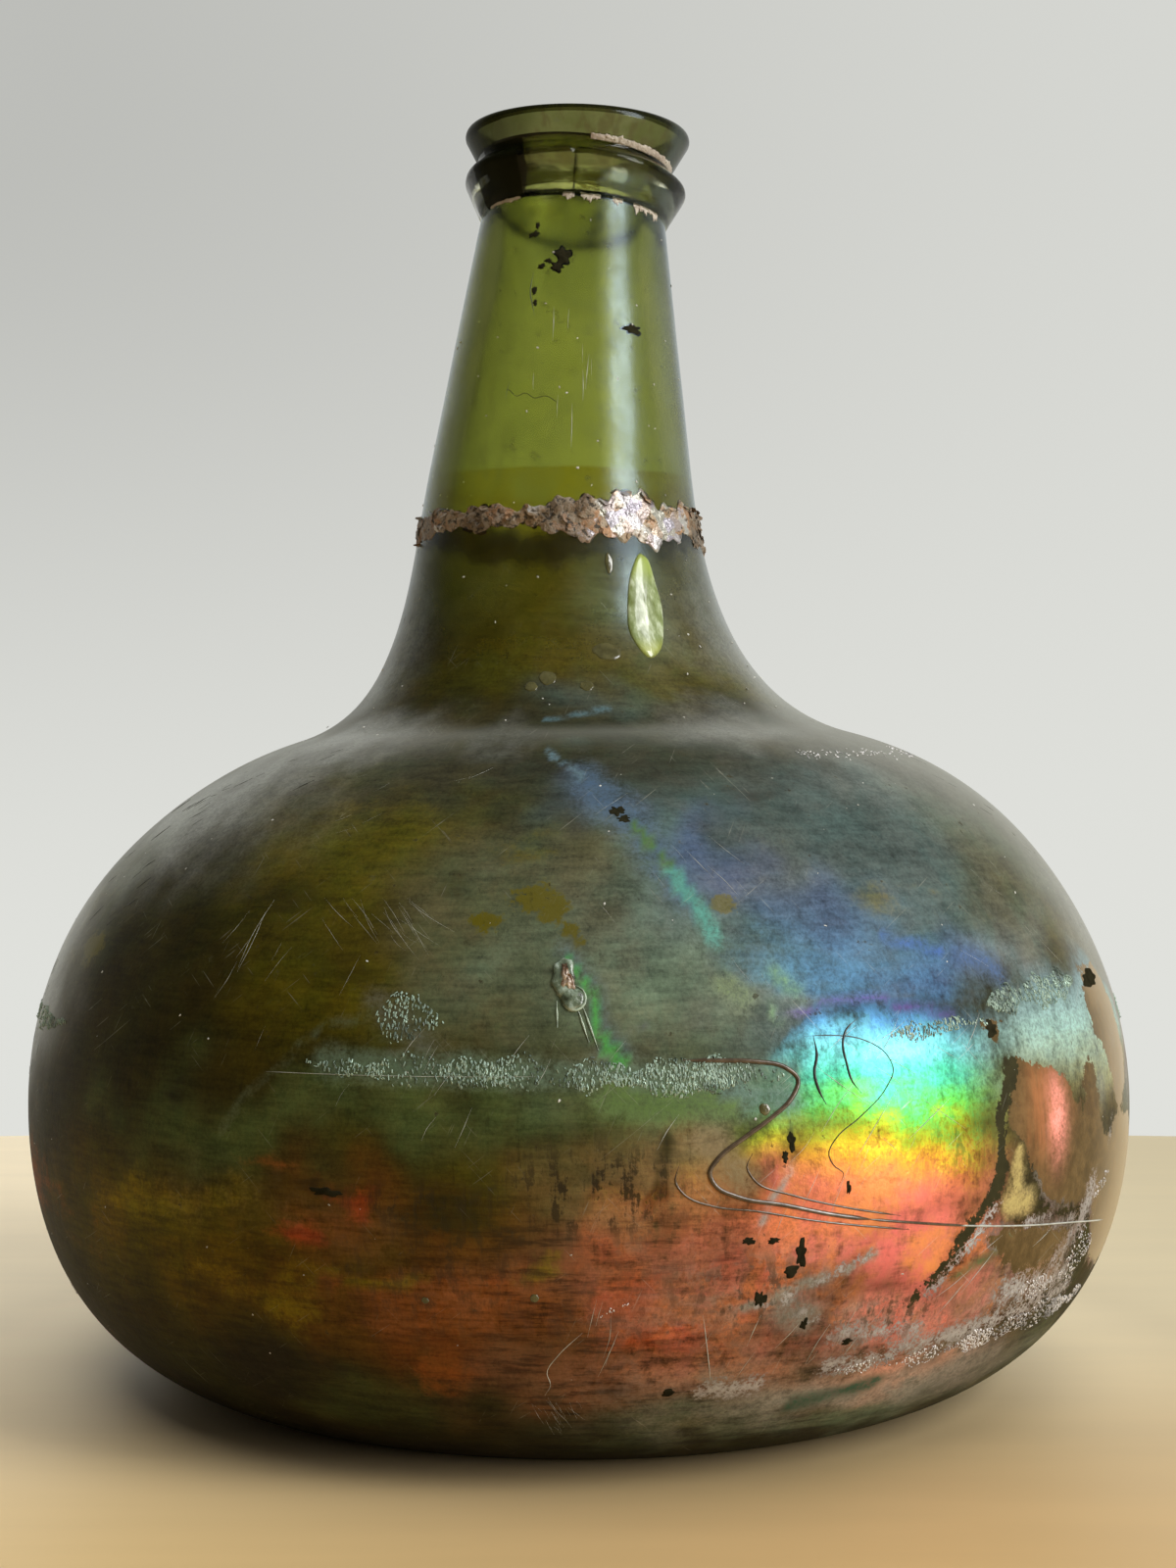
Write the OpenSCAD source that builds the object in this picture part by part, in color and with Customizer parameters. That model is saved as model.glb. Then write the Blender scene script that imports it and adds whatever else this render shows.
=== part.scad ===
// Onion bottle: a squat free-blown glass wine bottle with a tapering neck, a flared lip
// and a string rim laid round the neck as a separate trail of glass. Lime, weathering
// crust and a stone from the glass batch cling to it as pieces of their own.
// Millimetres, +Z up, the origin in the middle of the ring that the bottle stands on.
// Azimuths are counted from the front (-Y), positive towards +X.

/* [Body] */
// Widest diameter of the body
body_d = 150; // [130:1:170]
// Height of the widest place above the table
equator_h = 37.5; // [32:0.5:44]
// Outer diameter of the flat ring that the bottle stands on
stand_ring_d = 100; // [84:1:108]
// Width of that flat ring
stand_ring_w = 6; // [3:0.5:9]
// Rise of the heel where it leaves the ring, in degrees
heel_rise = 15; // [8:1:25]
// Diameter of the shoulder where it turns from convex to concave
shoulder_d = 76; // [66:1:84]
// Height of that turn above the table
shoulder_h = 86.5; // [82:0.5:92]
// Slope of the shoulder at that turn, in degrees
shoulder_slope = 16; // [10:1:24]

/* [Kick-up] */
// Height of the push-up under the base
kick_h = 26; // [18:0.5:34]
// Steepness of the push-up where it leaves the ring, in degrees
kick_flank = 64; // [50:1:75]
// Diameter of the flat crown of the push-up
kick_crown_d = 26; // [18:1:34]

/* [Neck] */
// Outer diameter at the foot of the straight neck
neck_foot_d = 38.4; // [34:0.2:42]
// Height of the foot of the straight neck above the table
neck_foot_h = 117; // [110:0.5:122]
// Outer diameter of the neck where the lip begins to flare
neck_top_d = 24.2; // [23:0.2:27]

/* [Mouth] */
// Overall height of the bottle
bottle_h = 170; // [160:0.5:182]
// Height of the flared lip
lip_h = 7; // [5:0.5:10]
// Outer diameter of the lip
lip_d = 31.2; // [29:0.2:35]
// Thickness of the lip at its round edge
lip_t = 2.2; // [1.6:0.1:3]
// Diameter of the straight throat that takes the cork
throat_d = 19.2; // [17:0.2:20]
// Length of that straight throat
throat_l = 12; // [8:0.5:18]
// Height that the inside flares over, from the throat to the lip
mouth_flare_h = 6; // [4:0.5:7]

/* [Wall] */
// Thickness of the glass at the base
base_t = 5; // [4:0.1:7]
// Thickness of the glass at the widest place
body_t = 3.2; // [2.4:0.1:4.5]
// Thickness of the glass at the shoulder
shoulder_t = 3.6; // [2.6:0.1:4.6]
// Thickness of the glass at the foot of the neck
neck_t = 3.4; // [2.6:0.1:4.4]

/* [String rim] */
// Diameter over the ridge of the string rim
rim_d = 30.8; // [29:0.2:35]
// Drop from the top of the lip to the ridge
rim_drop = 7.4; // [6.6:0.2:12]
// Height of the trail above its ridge, where it meets the neck
rim_above = 2.8; // [2:0.1:4]
// Height of the trail below its ridge, where it meets the neck
rim_below = 4.8; // [3:0.1:6]
// Radius of the rounded ridge
rim_ridge_r = 0.8; // [0.4:0.1:1.2]
// Tilt of the trail, which was laid on askew, in degrees
rim_tilt = 6; // [0:0.5:8]
// Azimuth of its highest side
rim_high_azimuth = -25; // [-180:5:180]

/* [Crust and lime] */
// Drop from the foot of the straight neck to the middle of the crust
neck_crust_drop = 0.6; // [-4:0.2:6]
// Height that the crust covers
neck_crust_w = 6.4; // [3:0.2:9]
// Thickness of the crust
neck_crust_t = 0.9; // [0.4:0.1:1.6]
// How far its edges wander up and down
neck_crust_wander = 1.1; // [0:0.1:1.6]
// Number of lumps round the crust
neck_crust_lumps = 13; // [5:1:20]
// Thickness of the cord of lime lodged above and below the string rim
rim_lime_d = 0.9; // [0.5:0.1:1.4]
// Height of the frosted weathering line round the waist
waist_crust_h = 48; // [44:0.5:56]
// Width of that line
waist_crust_w = 2.8; // [2:0.2:6]
// Rise of its right length above its left one
waist_crust_rise = 5.2; // [0:0.2:6]
// Height of the silvery crust on the heel
heel_crust_h = 14.6; // [8:0.2:18]
// Width of the heel crust
heel_crust_w = 3; // [2:0.2:6]
// Diameter of the ring of lime on the shoulder
shoulder_crust_d = 93; // [88:1:110]
// Width of that ring of lime
shoulder_crust_w = 1.4; // [0.8:0.2:3]
// Thickness of the thin crusts on the body
thin_crust_t = 0.3; // [0.2:0.05:0.6]

/* [Marks in the glass] */
// Diameter of the rough ring left by the pontil iron
pontil_d = 22; // [18:0.5:26]
// Width of that ring
pontil_w = 3; // [1.5:0.5:5]
// Thickness of the glass left there
pontil_t = 1.2; // [0.6:0.1:2]
// Diameter of the stone caught in the front of the body
stone_d = 4.2; // [2.5:0.1:6]
// Height of the stone above the table
stone_h = 58.5; // [50:0.5:64]
// How far the stone stands proud of the glass
stone_proud = 0.9; // [0.4:0.1:1.6]

/* [Hidden] */
$fn = 128;

// Gap that keeps a faceted crust clear of the round glass
seat_gap = 0.05;
// Points on each curve between two stations of the wall, on the lip and on the rim's ridge
curve_steps = 14;
lip_steps = 10;
ridge_steps = 8;
// Lime in the upper groove is this much thicker than below the rim, where part of it shows
upper_lime_share = 1.6;
lower_lime_show = 0.4;
// Turns of the collar of crust, and the waves that its edges and face follow
crust_turns = 96;
long_wave = 0.6;
short_wave = 0.4;
long_wave_shift = 40;
short_wave_shift = 115;
crust_face_mean = 0.75;
crust_face_swing = 0.35;
// Share of the pontil ring's width that each of its flanks takes
pontil_flank = 0.25;
// Sides of the round that trims the stone, fine enough for so small a piece
trim_sides = 720;
// Fullness of the curves, as shares of the spans that they cross
heel_fullness = 0.48;
lower_body_fullness = 0.64;
upper_body_fullness = 0.465;
shoulder_fullness = 0.616;
flare_fullness = 0.585;
neck_foot_fullness = 0.59;
kick_fullness = 0.8;
heel_pull = heel_fullness * (body_d - stand_ring_d) / 2;
body_pull_below = lower_body_fullness * equator_h;
body_pull_above = upper_body_fullness * (shoulder_h - equator_h);
shoulder_pull_below = shoulder_fullness * (body_d - shoulder_d) / 2;
shoulder_pull_above = flare_fullness * (shoulder_d - neck_foot_d) / 2;
neck_foot_pull = neck_foot_fullness * (neck_foot_h - shoulder_h);
kick_pull = kick_fullness * kick_h;
kick_crown_pull = kick_crown_d / 2;
lip_start_h = bottle_h - lip_h;
rim_h = bottle_h - rim_drop;
neck_crust_h = neck_foot_h - neck_crust_drop;
// Angle of the straight neck, as a direction of travel up the wall
neck_lean = 90 + atan2((neck_foot_d - neck_top_d) / 2, lip_start_h - neck_foot_h);
lip_edge = [(lip_d - lip_t) / 2, bottle_h - lip_t / 2];
lip_lean = atan2(lip_edge[1] - lip_start_h, lip_edge[0] - neck_top_d / 2);
throat_top = bottle_h - mouth_flare_h;
throat_foot = throat_top - throat_l;
// Stretches of azimuth that the crusts cover
waist_crust_spans = [[-33, 17], [29, 60]];
heel_crust_span = [27, 64];
shoulder_crust_span = [34, 78];
upper_lime_span = [-10, 78];
lower_lime_spans = [[6, 30], [38, 62], [-58, -30]];

// A station of the wall: [radius, height, direction of travel, pull before, pull after, thickness]
stations = [
  [stand_ring_d / 2, 0, heel_rise, 0, heel_pull, base_t],
  [body_d / 2, equator_h, 90, body_pull_below, body_pull_above, body_t],
  [shoulder_d / 2, shoulder_h, 180 - shoulder_slope, shoulder_pull_below, shoulder_pull_above, shoulder_t],
  [neck_foot_d / 2, neck_foot_h, neck_lean, neck_foot_pull, 0, neck_t]
];

function along(angle) = [cos(angle), sin(angle)];
function inward(angle) = [-sin(angle), cos(angle)];
function place(s) = [s[0], s[1]];
function inner_place(s) = place(s) + s[5] * inward(s[2]);

function bezier(a, b, c, d, t) =
  pow(1 - t, 3) * a + 3 * t * pow(1 - t, 2) * b + 3 * t * t * (1 - t) * c + pow(t, 3) * d;
function curve(a, b, c, d) = [for (i = [0:curve_steps]) bezier(a, b, c, d, i / curve_steps)];

// The curve from one station to the next, whose pulls shrink or grow with its chord
function span_curve(a, b, from, to, scale) =
  curve(a, a + scale * from[4] * along(from[2]), b - scale * to[3] * along(to[2]), b);
function outer_span(from, to) = span_curve(place(from), place(to), from, to, 1);
function inner_span(from, to) =
  span_curve(inner_place(from), inner_place(to), from, to,
             norm(inner_place(to) - inner_place(from)) / norm(place(to) - place(from)));

function joined(lists) = [for (l = lists) for (p = l) p];
function reversed(l) = [for (i = [len(l) - 1:-1:0]) l[i]];
function arc(centre, r, from, to, steps) =
  [for (i = [0:steps]) centre + r * along(from + (to - from) * i / steps)];

body_spans = [for (i = [0:len(stations) - 2]) i];
outer_body = joined([for (i = body_spans) outer_span(stations[i], stations[i + 1])]);
inner_body = joined([for (i = body_spans) inner_span(stations[i], stations[i + 1])]);
lip_arc = arc(lip_edge, lip_t / 2, lip_lean - 90, lip_lean + 90, lip_steps);
outer_mouth = concat([[neck_top_d / 2, lip_start_h]], lip_arc);
inner_mouth = [[throat_d / 2, throat_top], [throat_d / 2, throat_foot]];

// The underside of the push-up, from the standing ring to its crown
function kick(foot, crown) =
  curve(foot, foot + kick_pull * along(180 - kick_flank), crown + [kick_crown_pull, 0], crown);
kick_under = kick([stand_ring_d / 2 - stand_ring_w, 0], [0, kick_h]);
kick_inside = kick(inner_place(stations[0]), [0, kick_h + base_t]);

// Radius of the glass at a height, on the upper body and neck
upper_wall = joined([outer_span(stations[1], stations[2]), outer_span(stations[2], stations[3]),
                     [[neck_top_d / 2, lip_start_h]]]);
outer_heights = [for (p = upper_wall) [p[1], p[0]]];
function glass_r(z) = lookup(z, outer_heights);

// Everything inside the outer face of the glass, as one solid, to trim what sits on it
module glass_outline() {
  polygon(concat([[0, 0]], outer_body, outer_mouth, [[0, bottle_h]]));
}

// Wall of the bottle: base, body, shoulder, neck and lip are one gather of glass
module bottle_body() {
  color([0.36, 0.40, 0.13, 0.75])
    rotate_extrude()
      polygon(concat(reversed(kick_under), outer_body, outer_mouth, inner_mouth,
                     reversed(inner_body), kick_inside));
}

// The string rim before it is trimmed to the neck: a blunt wedge, widest near its top
module rim_section() {
  core = throat_d / 2;
  ridge = [rim_d / 2 - rim_ridge_r, 0];
  neck_r = glass_r(rim_h);
  upper = atan2(rim_above, ridge[0] - neck_r + rim_ridge_r);
  lower = atan2(rim_below, ridge[0] - neck_r + rim_ridge_r);
  polygon(concat([[core, -rim_below], [glass_r(rim_h - rim_below), -rim_below]],
                 arc(ridge, rim_ridge_r, lower - 90, 90 - upper, ridge_steps),
                 [[neck_r, rim_above], [core, rim_above]]));
}

// Lays children askew as the string rim lies, with heights counted from its ridge
module askew() {
  translate([0, 0, rim_h])
    rotate([0, 0, rim_high_azimuth])
      rotate([-rim_tilt, 0, 0])
        rotate([0, 0, -rim_high_azimuth])
          children();
}

module string_rim() {
  color([0.30, 0.34, 0.10, 0.8])
    difference() {
      askew() rotate_extrude() rim_section();
      rotate_extrude() glass_outline();
    }
}

// A length of the children's section turned over a span of azimuth
module over_span(span) {
  rotate([0, 0, span[0] - 90])
    rotate_extrude(angle = span[1] - span[0])
      children();
}

// Cords of lime in the groove above the string rim and along its lower edge
module rim_lime() {
  upper_r = glass_r(rim_h) + rim_lime_d;
  lower_r = glass_r(rim_h - rim_below) + rim_lime_d * lower_lime_show;
  color([0.80, 0.70, 0.62])
    difference() {
      askew() {
        over_span(upper_lime_span)
          translate([upper_r, rim_above]) circle(d = rim_lime_d * upper_lime_share, $fn = 24);
        for (span = lower_lime_spans)
          over_span(span)
            translate([lower_r, -rim_below]) circle(d = rim_lime_d, $fn = 24);
      }
      askew() rotate_extrude() rim_section();
      rotate_extrude() glass_outline();
    }
}

// Ragged collar of weathering crust: its edges and face wander by sums of waves
function crust_wave(a, k) =
  long_wave * sin(neck_crust_lumps * a + long_wave_shift * k)
  + short_wave * sin((2 * neck_crust_lumps - 3) * a + short_wave_shift * k);
function crust_edge(a, side) =
  neck_crust_h + side * neck_crust_w / 2 + neck_crust_wander * crust_wave(a, 2 + side);
function crust_seat(z) = (glass_r(z) + seat_gap) / cos(180 / crust_turns);
function crust_face(z, a, k) =
  crust_seat(z) + neck_crust_t * (crust_face_mean + crust_face_swing * crust_wave(a, k));
function crust_ring(a) =
  let (low = crust_edge(a, -1), high = crust_edge(a, 1), third = (high - low) / 3)
  [[crust_seat(low), low], [crust_face(low + third, a, 5), low + third],
   [crust_face(high - third, a, 7), high - third], [crust_seat(high), high]];

module neck_crust() {
  turn = 360 / crust_turns;
  sides = 4;
  points = [for (i = [0:crust_turns - 1]) for (p = crust_ring(i * turn))
            [p[0] * cos(i * turn), p[0] * sin(i * turn), p[1]]];
  function at(i, j) = (i % crust_turns) * sides + j % sides;
  faces = [for (i = [0:crust_turns - 1]) for (j = [0:sides - 1])
           each [[at(i, j), at(i, j + 1), at(i + 1, j)], [at(i, j + 1), at(i + 1, j + 1), at(i + 1, j)]]];
  color([0.52, 0.36, 0.24]) polyhedron(points, faces);
}

// A skin of even thickness on the outer glass, between two heights
module skin_section(low, high) {
  face = joined([outer_span(stations[0], stations[1]), outer_span(stations[1], stations[2])]);
  kept = [for (p = face) if (p[1] > low && p[1] < high) p];
  heights = [for (p = face) [p[1], p[0]]];
  seat = concat([[lookup(low, heights), low]], kept, [[lookup(high, heights), high]]);
  leans = [for (i = [0:len(seat) - 1])
           let (a = seat[max(i - 1, 0)], b = seat[min(i + 1, len(seat) - 1)])
           atan2(b[1] - a[1], b[0] - a[0])];
  polygon(concat(seat, reversed([for (i = [0:len(seat) - 1]) seat[i] - thin_crust_t * inward(leans[i])])));
}

// Frosted line left round the waist, in two lengths, the right one a little higher
module waist_crust() {
  color([0.55, 0.62, 0.52])
    for (i = [0:len(waist_crust_spans) - 1])
      over_span(waist_crust_spans[i])
        skin_section(waist_crust_h + i * waist_crust_rise - waist_crust_w / 2,
                     waist_crust_h + i * waist_crust_rise + waist_crust_w / 2);
}

// Silvery crust low on the right of the heel
module heel_crust() {
  color([0.62, 0.62, 0.58])
    over_span(heel_crust_span)
      skin_section(heel_crust_h - heel_crust_w / 2, heel_crust_h + heel_crust_w / 2);
}

// Height of the shoulder where the glass has a given diameter
shoulder_face = [for (p = reversed(outer_span(stations[1], stations[2]))) [p[0], p[1]]];
function shoulder_z(d) = lookup(d / 2, shoulder_face);

// Thin line of lime along the right shoulder
module shoulder_crust() {
  color([0.66, 0.66, 0.62])
    over_span(shoulder_crust_span)
      skin_section(shoulder_z(shoulder_crust_d + shoulder_crust_w),
                   shoulder_z(shoulder_crust_d - shoulder_crust_w));
}

// Ring of glass left inside the push-up where the pontil iron was broken off
module pontil_scar() {
  heights = [for (p = reversed(kick_under)) [p[0], p[1]]];
  outer = pontil_d / 2;
  inner = outer - pontil_w;
  kept = [for (p = kick_under) if (p[0] < outer && p[0] > inner) p];
  seat = concat([[outer, lookup(outer, heights)]], kept, [[inner, lookup(inner, heights)]]);
  color([0.26, 0.30, 0.10])
    rotate_extrude()
      polygon(concat(seat, [[inner + pontil_w * pontil_flank, lookup(inner, heights) - pontil_t],
                            [outer - pontil_w * pontil_flank, lookup(outer, heights) - pontil_t]]));
}

// Unmelted stone from the batch, caught in the front of the body
module stone_inclusion() {
  stone_r = glass_r(stone_h) - stone_d / 2 + stone_proud;
  color([0.55, 0.47, 0.36])
    difference() {
      translate([0, -stone_r, stone_h]) sphere(d = stone_d);
      rotate_extrude($fn = trim_sides) glass_outline();
    }
}

bottle_body();
string_rim();
neck_crust();
rim_lime();
waist_crust();
heel_crust();
shoulder_crust();
pontil_scar();
stone_inclusion();
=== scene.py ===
import math

import bmesh
import bpy
import numpy as np
from bpy.props import FloatProperty, FloatVectorProperty, IntProperty, PointerProperty
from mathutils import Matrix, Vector


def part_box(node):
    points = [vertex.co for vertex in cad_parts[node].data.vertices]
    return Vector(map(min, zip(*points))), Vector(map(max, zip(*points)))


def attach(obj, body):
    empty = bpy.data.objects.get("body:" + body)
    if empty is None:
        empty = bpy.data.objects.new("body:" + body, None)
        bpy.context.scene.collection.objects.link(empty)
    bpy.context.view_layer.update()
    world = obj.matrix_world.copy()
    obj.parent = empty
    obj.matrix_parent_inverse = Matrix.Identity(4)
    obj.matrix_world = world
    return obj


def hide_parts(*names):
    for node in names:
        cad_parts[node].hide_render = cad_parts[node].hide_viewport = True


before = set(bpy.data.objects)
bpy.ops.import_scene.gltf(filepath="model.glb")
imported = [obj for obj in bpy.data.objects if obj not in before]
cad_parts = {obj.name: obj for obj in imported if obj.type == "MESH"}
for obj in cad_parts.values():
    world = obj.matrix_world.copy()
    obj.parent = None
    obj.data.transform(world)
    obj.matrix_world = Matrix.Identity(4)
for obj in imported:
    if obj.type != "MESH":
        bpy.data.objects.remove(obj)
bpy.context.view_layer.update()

bl_info = {
    "name": "Onion bottle",
    "version": (1, 0, 0),
    "blender": (4, 5, 0),
    "location": "View3D > Sidebar > Bottle",
    "description": "Dresses the solids of a weathered free-blown onion bottle",
    "category": "Object",
}

BODY_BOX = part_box("bottle_body")
ROOT = "root"
MM = 0.001


# Settings that a user would change


def length(name, description, millimetres):
    """A length property whose default is given in millimetres."""
    return FloatProperty(name=name, description=description, default=millimetres * MM, min=0.0, precision=5,
                         unit="LENGTH", subtype="DISTANCE")


def colour(name, description, value):
    """A colour property."""
    return FloatVectorProperty(name=name, description=description, default=value, size=3, min=0.0, max=1.0,
                               subtype="COLOR")


class BottleForm(bpy.types.PropertyGroup):
    """Sizes of the blown wall."""

    body_radius: length("Body radius", "Radius at the widest place", (BODY_BOX[1].x - BODY_BOX[0].x) / 2 / MM)
    height: length("Height", "Overall height", BODY_BOX[1].z / MM)
    equator_height: length("Equator height", "Height of the widest place", 37.5)
    stand_radius: length("Stand radius", "Outer radius of the ring it stands on", 50)
    stand_width: length("Stand width", "Width of the ring it stands on", 6)
    shoulder_radius: length("Shoulder radius", "Radius where the shoulder turns concave", 38)
    shoulder_height: length("Shoulder height", "Height of that turn", 86.5)
    neck_foot_radius: length("Neck foot radius", "Radius at the foot of the straight neck", 19.2)
    neck_foot_height: length("Neck foot height", "Height of the foot of the straight neck", 117)
    neck_top_radius: length("Neck top radius", "Radius where the lip begins", 12.1)
    lip_height: length("Lip height", "Height of the flared lip", 7)
    lip_radius: length("Lip radius", "Outer radius of the lip", 15.6)
    lip_thickness: length("Lip thickness", "Thickness of the lip at its edge", 2.2)
    throat_radius: length("Throat radius", "Radius of the straight throat", 9.6)
    throat_length: length("Throat length", "Length of the straight throat", 12)
    mouth_flare: length("Mouth flare", "Height that the inside of the mouth flares over", 6)
    kick_height: length("Push-up height", "Height of the push-up under the base", 26)
    kick_crown: length("Push-up crown", "Radius of its rounded crown", 13)
    base_wall: length("Base thickness", "Thickness of the glass at the base", 5)
    body_wall: length("Body thickness", "Thickness of the glass at the widest place", 3.2)
    shoulder_wall: length("Shoulder thickness", "Thickness of the glass at the shoulder", 3.6)
    neck_wall: length("Neck thickness", "Thickness of the glass at the foot of the neck", 3.4)
    front_columns: IntProperty(name="Front columns", description="Mesh columns over the front half", default=216,
                               min=24)
    back_columns: IntProperty(name="Back columns", description="Mesh columns over the back half", default=120,
                              min=24)
    row_spacing: length("Row spacing", "Spacing of the mesh rows on the outside", 1.25)


class RimForm(bpy.types.PropertyGroup):
    """Sizes of the string rim and of what clings to the glass."""

    radius: length("Rim radius", "Radius over the ridge of the string rim", 15.4)
    drop: length("Rim drop", "Drop from the top of the lip to the ridge", 7.4)
    above: length("Rim above", "Height of the trail above its ridge", 2.8)
    below: length("Rim below", "Height of the trail below its ridge", 4.8)
    ridge: length("Ridge radius", "Radius of the rounded ridge", 0.8)
    tilt: FloatProperty(name="Rim tilt", description="Slant of the trail", default=math.radians(6),
                        subtype="ANGLE", unit="ROTATION")
    high_side: FloatProperty(name="High side", description="Azimuth of its highest side",
                             default=math.radians(-25), subtype="ANGLE", unit="ROTATION")
    crust_height: length("Neck crust height", "Height of the middle of the neck's crust", 115.2)
    crust_width: length("Neck crust width", "Height that the neck's crust covers", 6.4)
    waist_height: length("Waist line height", "Height of the frosted line round the waist", 48)
    heel_height: length("Heel line height", "Height of the silvery line on the heel", 14.6)
    shoulder_line: length("Shoulder line height", "Height of the lime on the shoulder", 83.2)
    stone_height: length("Stone height", "Height of the stone in the front", 58.5)


class Finishes(bpy.types.PropertyGroup):
    """Colours of the glass, film, crust and lime."""

    clear_glass: colour("Clear glass", "Tint of the clear glass in the neck", (0.47, 0.50, 0.12))
    olive: colour("Olive", "Weathered glass where it is olive", (0.078, 0.066, 0.002))
    brown: colour("Brown", "Weathered glass where it is brown", (0.025, 0.021, 0.003))
    ash: colour("Ash", "Dark slate bloom on the shoulder", (0.034, 0.037, 0.023))
    slate: colour("Slate", "Grey bloom on the weathered glass", (0.085, 0.088, 0.044))
    haze: colour("Haze", "Grey-green bloom at the front", (0.135, 0.172, 0.108))
    mist: colour("Mist", "Pale blue-grey bloom at the right", (0.150, 0.190, 0.200))
    steel: colour("Steel", "Blue-grey bloom on the weathered glass", (0.066, 0.112, 0.118))
    dusk: colour("Dusk", "Violet-blue bloom on the weathered glass", (0.052, 0.078, 0.200))
    moss: colour("Moss", "Green stain below the waist", (0.072, 0.098, 0.030))
    amber: colour("Amber", "Brownish gold stain on the lower body", (0.088, 0.066, 0.001))
    gold: colour("Gold", "Golden stain on the lower body", (0.165, 0.125, 0.003))
    rust: colour("Rust", "Red-brown stain on the lower body", (0.185, 0.058, 0.010))
    clay: colour("Clay", "Tan stain below the waist", (0.260, 0.175, 0.075))
    rose: colour("Rose", "Rosy stain on the lower body", (0.240, 0.100, 0.050))
    ember: colour("Ember", "Red stain on the lower body", (0.290, 0.050, 0.012))
    coal: colour("Coal", "Dark heel and foot", (0.012, 0.010, 0.006))
    bare: colour("Bare glass", "Glass where the film has come off", (0.085, 0.055, 0.019))
    silver: colour("Silver", "Silvery film at the heel", (0.66, 0.64, 0.63))
    crust_brown: colour("Brown crust", "Brown of the neck's crust", (0.36, 0.19, 0.085))
    lime: colour("Lime", "Lime at the string rim", (0.50, 0.46, 0.38))
    frost: colour("Frost", "Crystals of the frosted lines", (0.24, 0.34, 0.27))
    floor: colour("Floor", "Plain pale table", (0.70, 0.50, 0.23))
    wall: colour("Backdrop", "Plain pale backdrop", (0.745, 0.752, 0.715))


class StageSettings(bpy.types.PropertyGroup):
    """Camera and light."""

    eye_distance: length("Eye distance", "Distance of the camera from the bottle's axis", 328.4)
    eye_height: length("Eye height", "Height of the camera above the table", 80)
    eye_side: length("Eye side", "Shift of the camera to the right", 1.4)
    lens: FloatProperty(name="Lens", description="Focal length", default=54.0, min=1.0, unit="CAMERA")
    key_power: FloatProperty(name="Key power", description="Power of the window light", default=55.0, min=0.0,
                             unit="POWER")
    fill_power: FloatProperty(name="Fill power", description="Power of the soft light overhead", default=9.0,
                              min=0.0, unit="POWER")


# Form of the bottle, in millimetres


def heading(degrees):
    """The unit vector at so many degrees from the first axis."""
    return np.array([math.cos(math.radians(degrees)), math.sin(math.radians(degrees))])


def cubic(a, b, c, d, steps=48):
    """Points along a Bezier curve."""
    t = np.linspace(0, 1, steps + 1)[:, None]
    return (1 - t) ** 3 * a + 3 * t * (1 - t) ** 2 * b + 3 * t * t * (1 - t) * c + t ** 3 * d


def even(points, spacing):
    """Points at an even spacing along a polyline, both ends kept."""
    steps = np.linalg.norm(np.diff(points, axis=0), axis=1)
    along = np.concatenate([[0], np.cumsum(steps)])
    count = max(2, int(round(along[-1] / spacing)) + 1)
    at = np.linspace(0, along[-1], count)
    return np.stack([np.interp(at, along, points[:, k]) for k in range(points.shape[1])], axis=1)


def hermite(x, xs, ys, slopes):
    """A smooth curve at x, through ys at xs with these slopes."""
    i = np.clip(np.searchsorted(xs, x) - 1, 0, len(xs) - 2)
    h = xs[i + 1] - xs[i]
    t = (x - xs[i]) / h
    return (ys[i] * (1 + 2 * t) * (1 - t) ** 2 + slopes[i] * h * t * (1 - t) ** 2
            + ys[i + 1] * t * t * (3 - 2 * t) + slopes[i + 1] * h * t * t * (t - 1))


def through(x, knots):
    """A smooth curve through (x, value) knots, with level ends."""
    xs, ys = np.array(knots, float).T
    slopes = np.gradient(ys, xs)
    slopes[0] = slopes[-1] = 0.0
    return hermite(np.clip(x, xs[0], xs[-1]), xs, ys, slopes)


def smooth(x, low, high):
    """A smooth step from 0 to 1 as x goes from low to high."""
    t = np.clip((x - low) / (high - low), 0, 1)
    return t * t * (3 - 2 * t)


# Slopes of the wall in degrees, and fullness of the curves between its stations as shares of what they span
HEEL_RISE, SHOULDER_SLOPE, KICK_FLANK = 15, 16, 64
HEEL_FULL, LOWER_FULL, UPPER_FULL, SHOULDER_FULL, FLARE_FULL, NECK_FULL = 0.48, 0.64, 0.465, 0.616, 0.585, 0.59
KICK_FULL = 0.8
# Spacing in millimetres of the mesh rows that are hardly seen, and points round the lip's edge
UNDER_ROWS, RING_ROWS, MOUTH_ROWS, THROAT_ROWS, INSIDE_ROWS, FLOOR_ROWS = 2.4, 1.5, 2.0, 2.4, 3.0, 3.2
LIP_POINTS = 15

# Hand-blown departures from the turned form: (height, shift to the right) and (height, slope to the right)
NECK_LEAN = [(0, 0), (66, 0), (84, -0.3), (100, -1.9), (114, -2.6), (135, -1.9), (155, -0.9), (172, 0)]
SIDE_SLOPE = [(0, 0), (60, 0), (84, 0.019), (104, 0), (150, 0), (172, -0.022)]
# How far the lip is raised, and the heights over which it begins
LIP_RISE, LIP_FROM = 0.8, (160, 170)
# Heights over which the body goes out of round and comes back, and how far it goes, as shares of its radius
FREE_FROM, FREE_TO, OUT_OF_ROUND = (8, 30), (95, 112), (0.0016, 0.0011)


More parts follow.
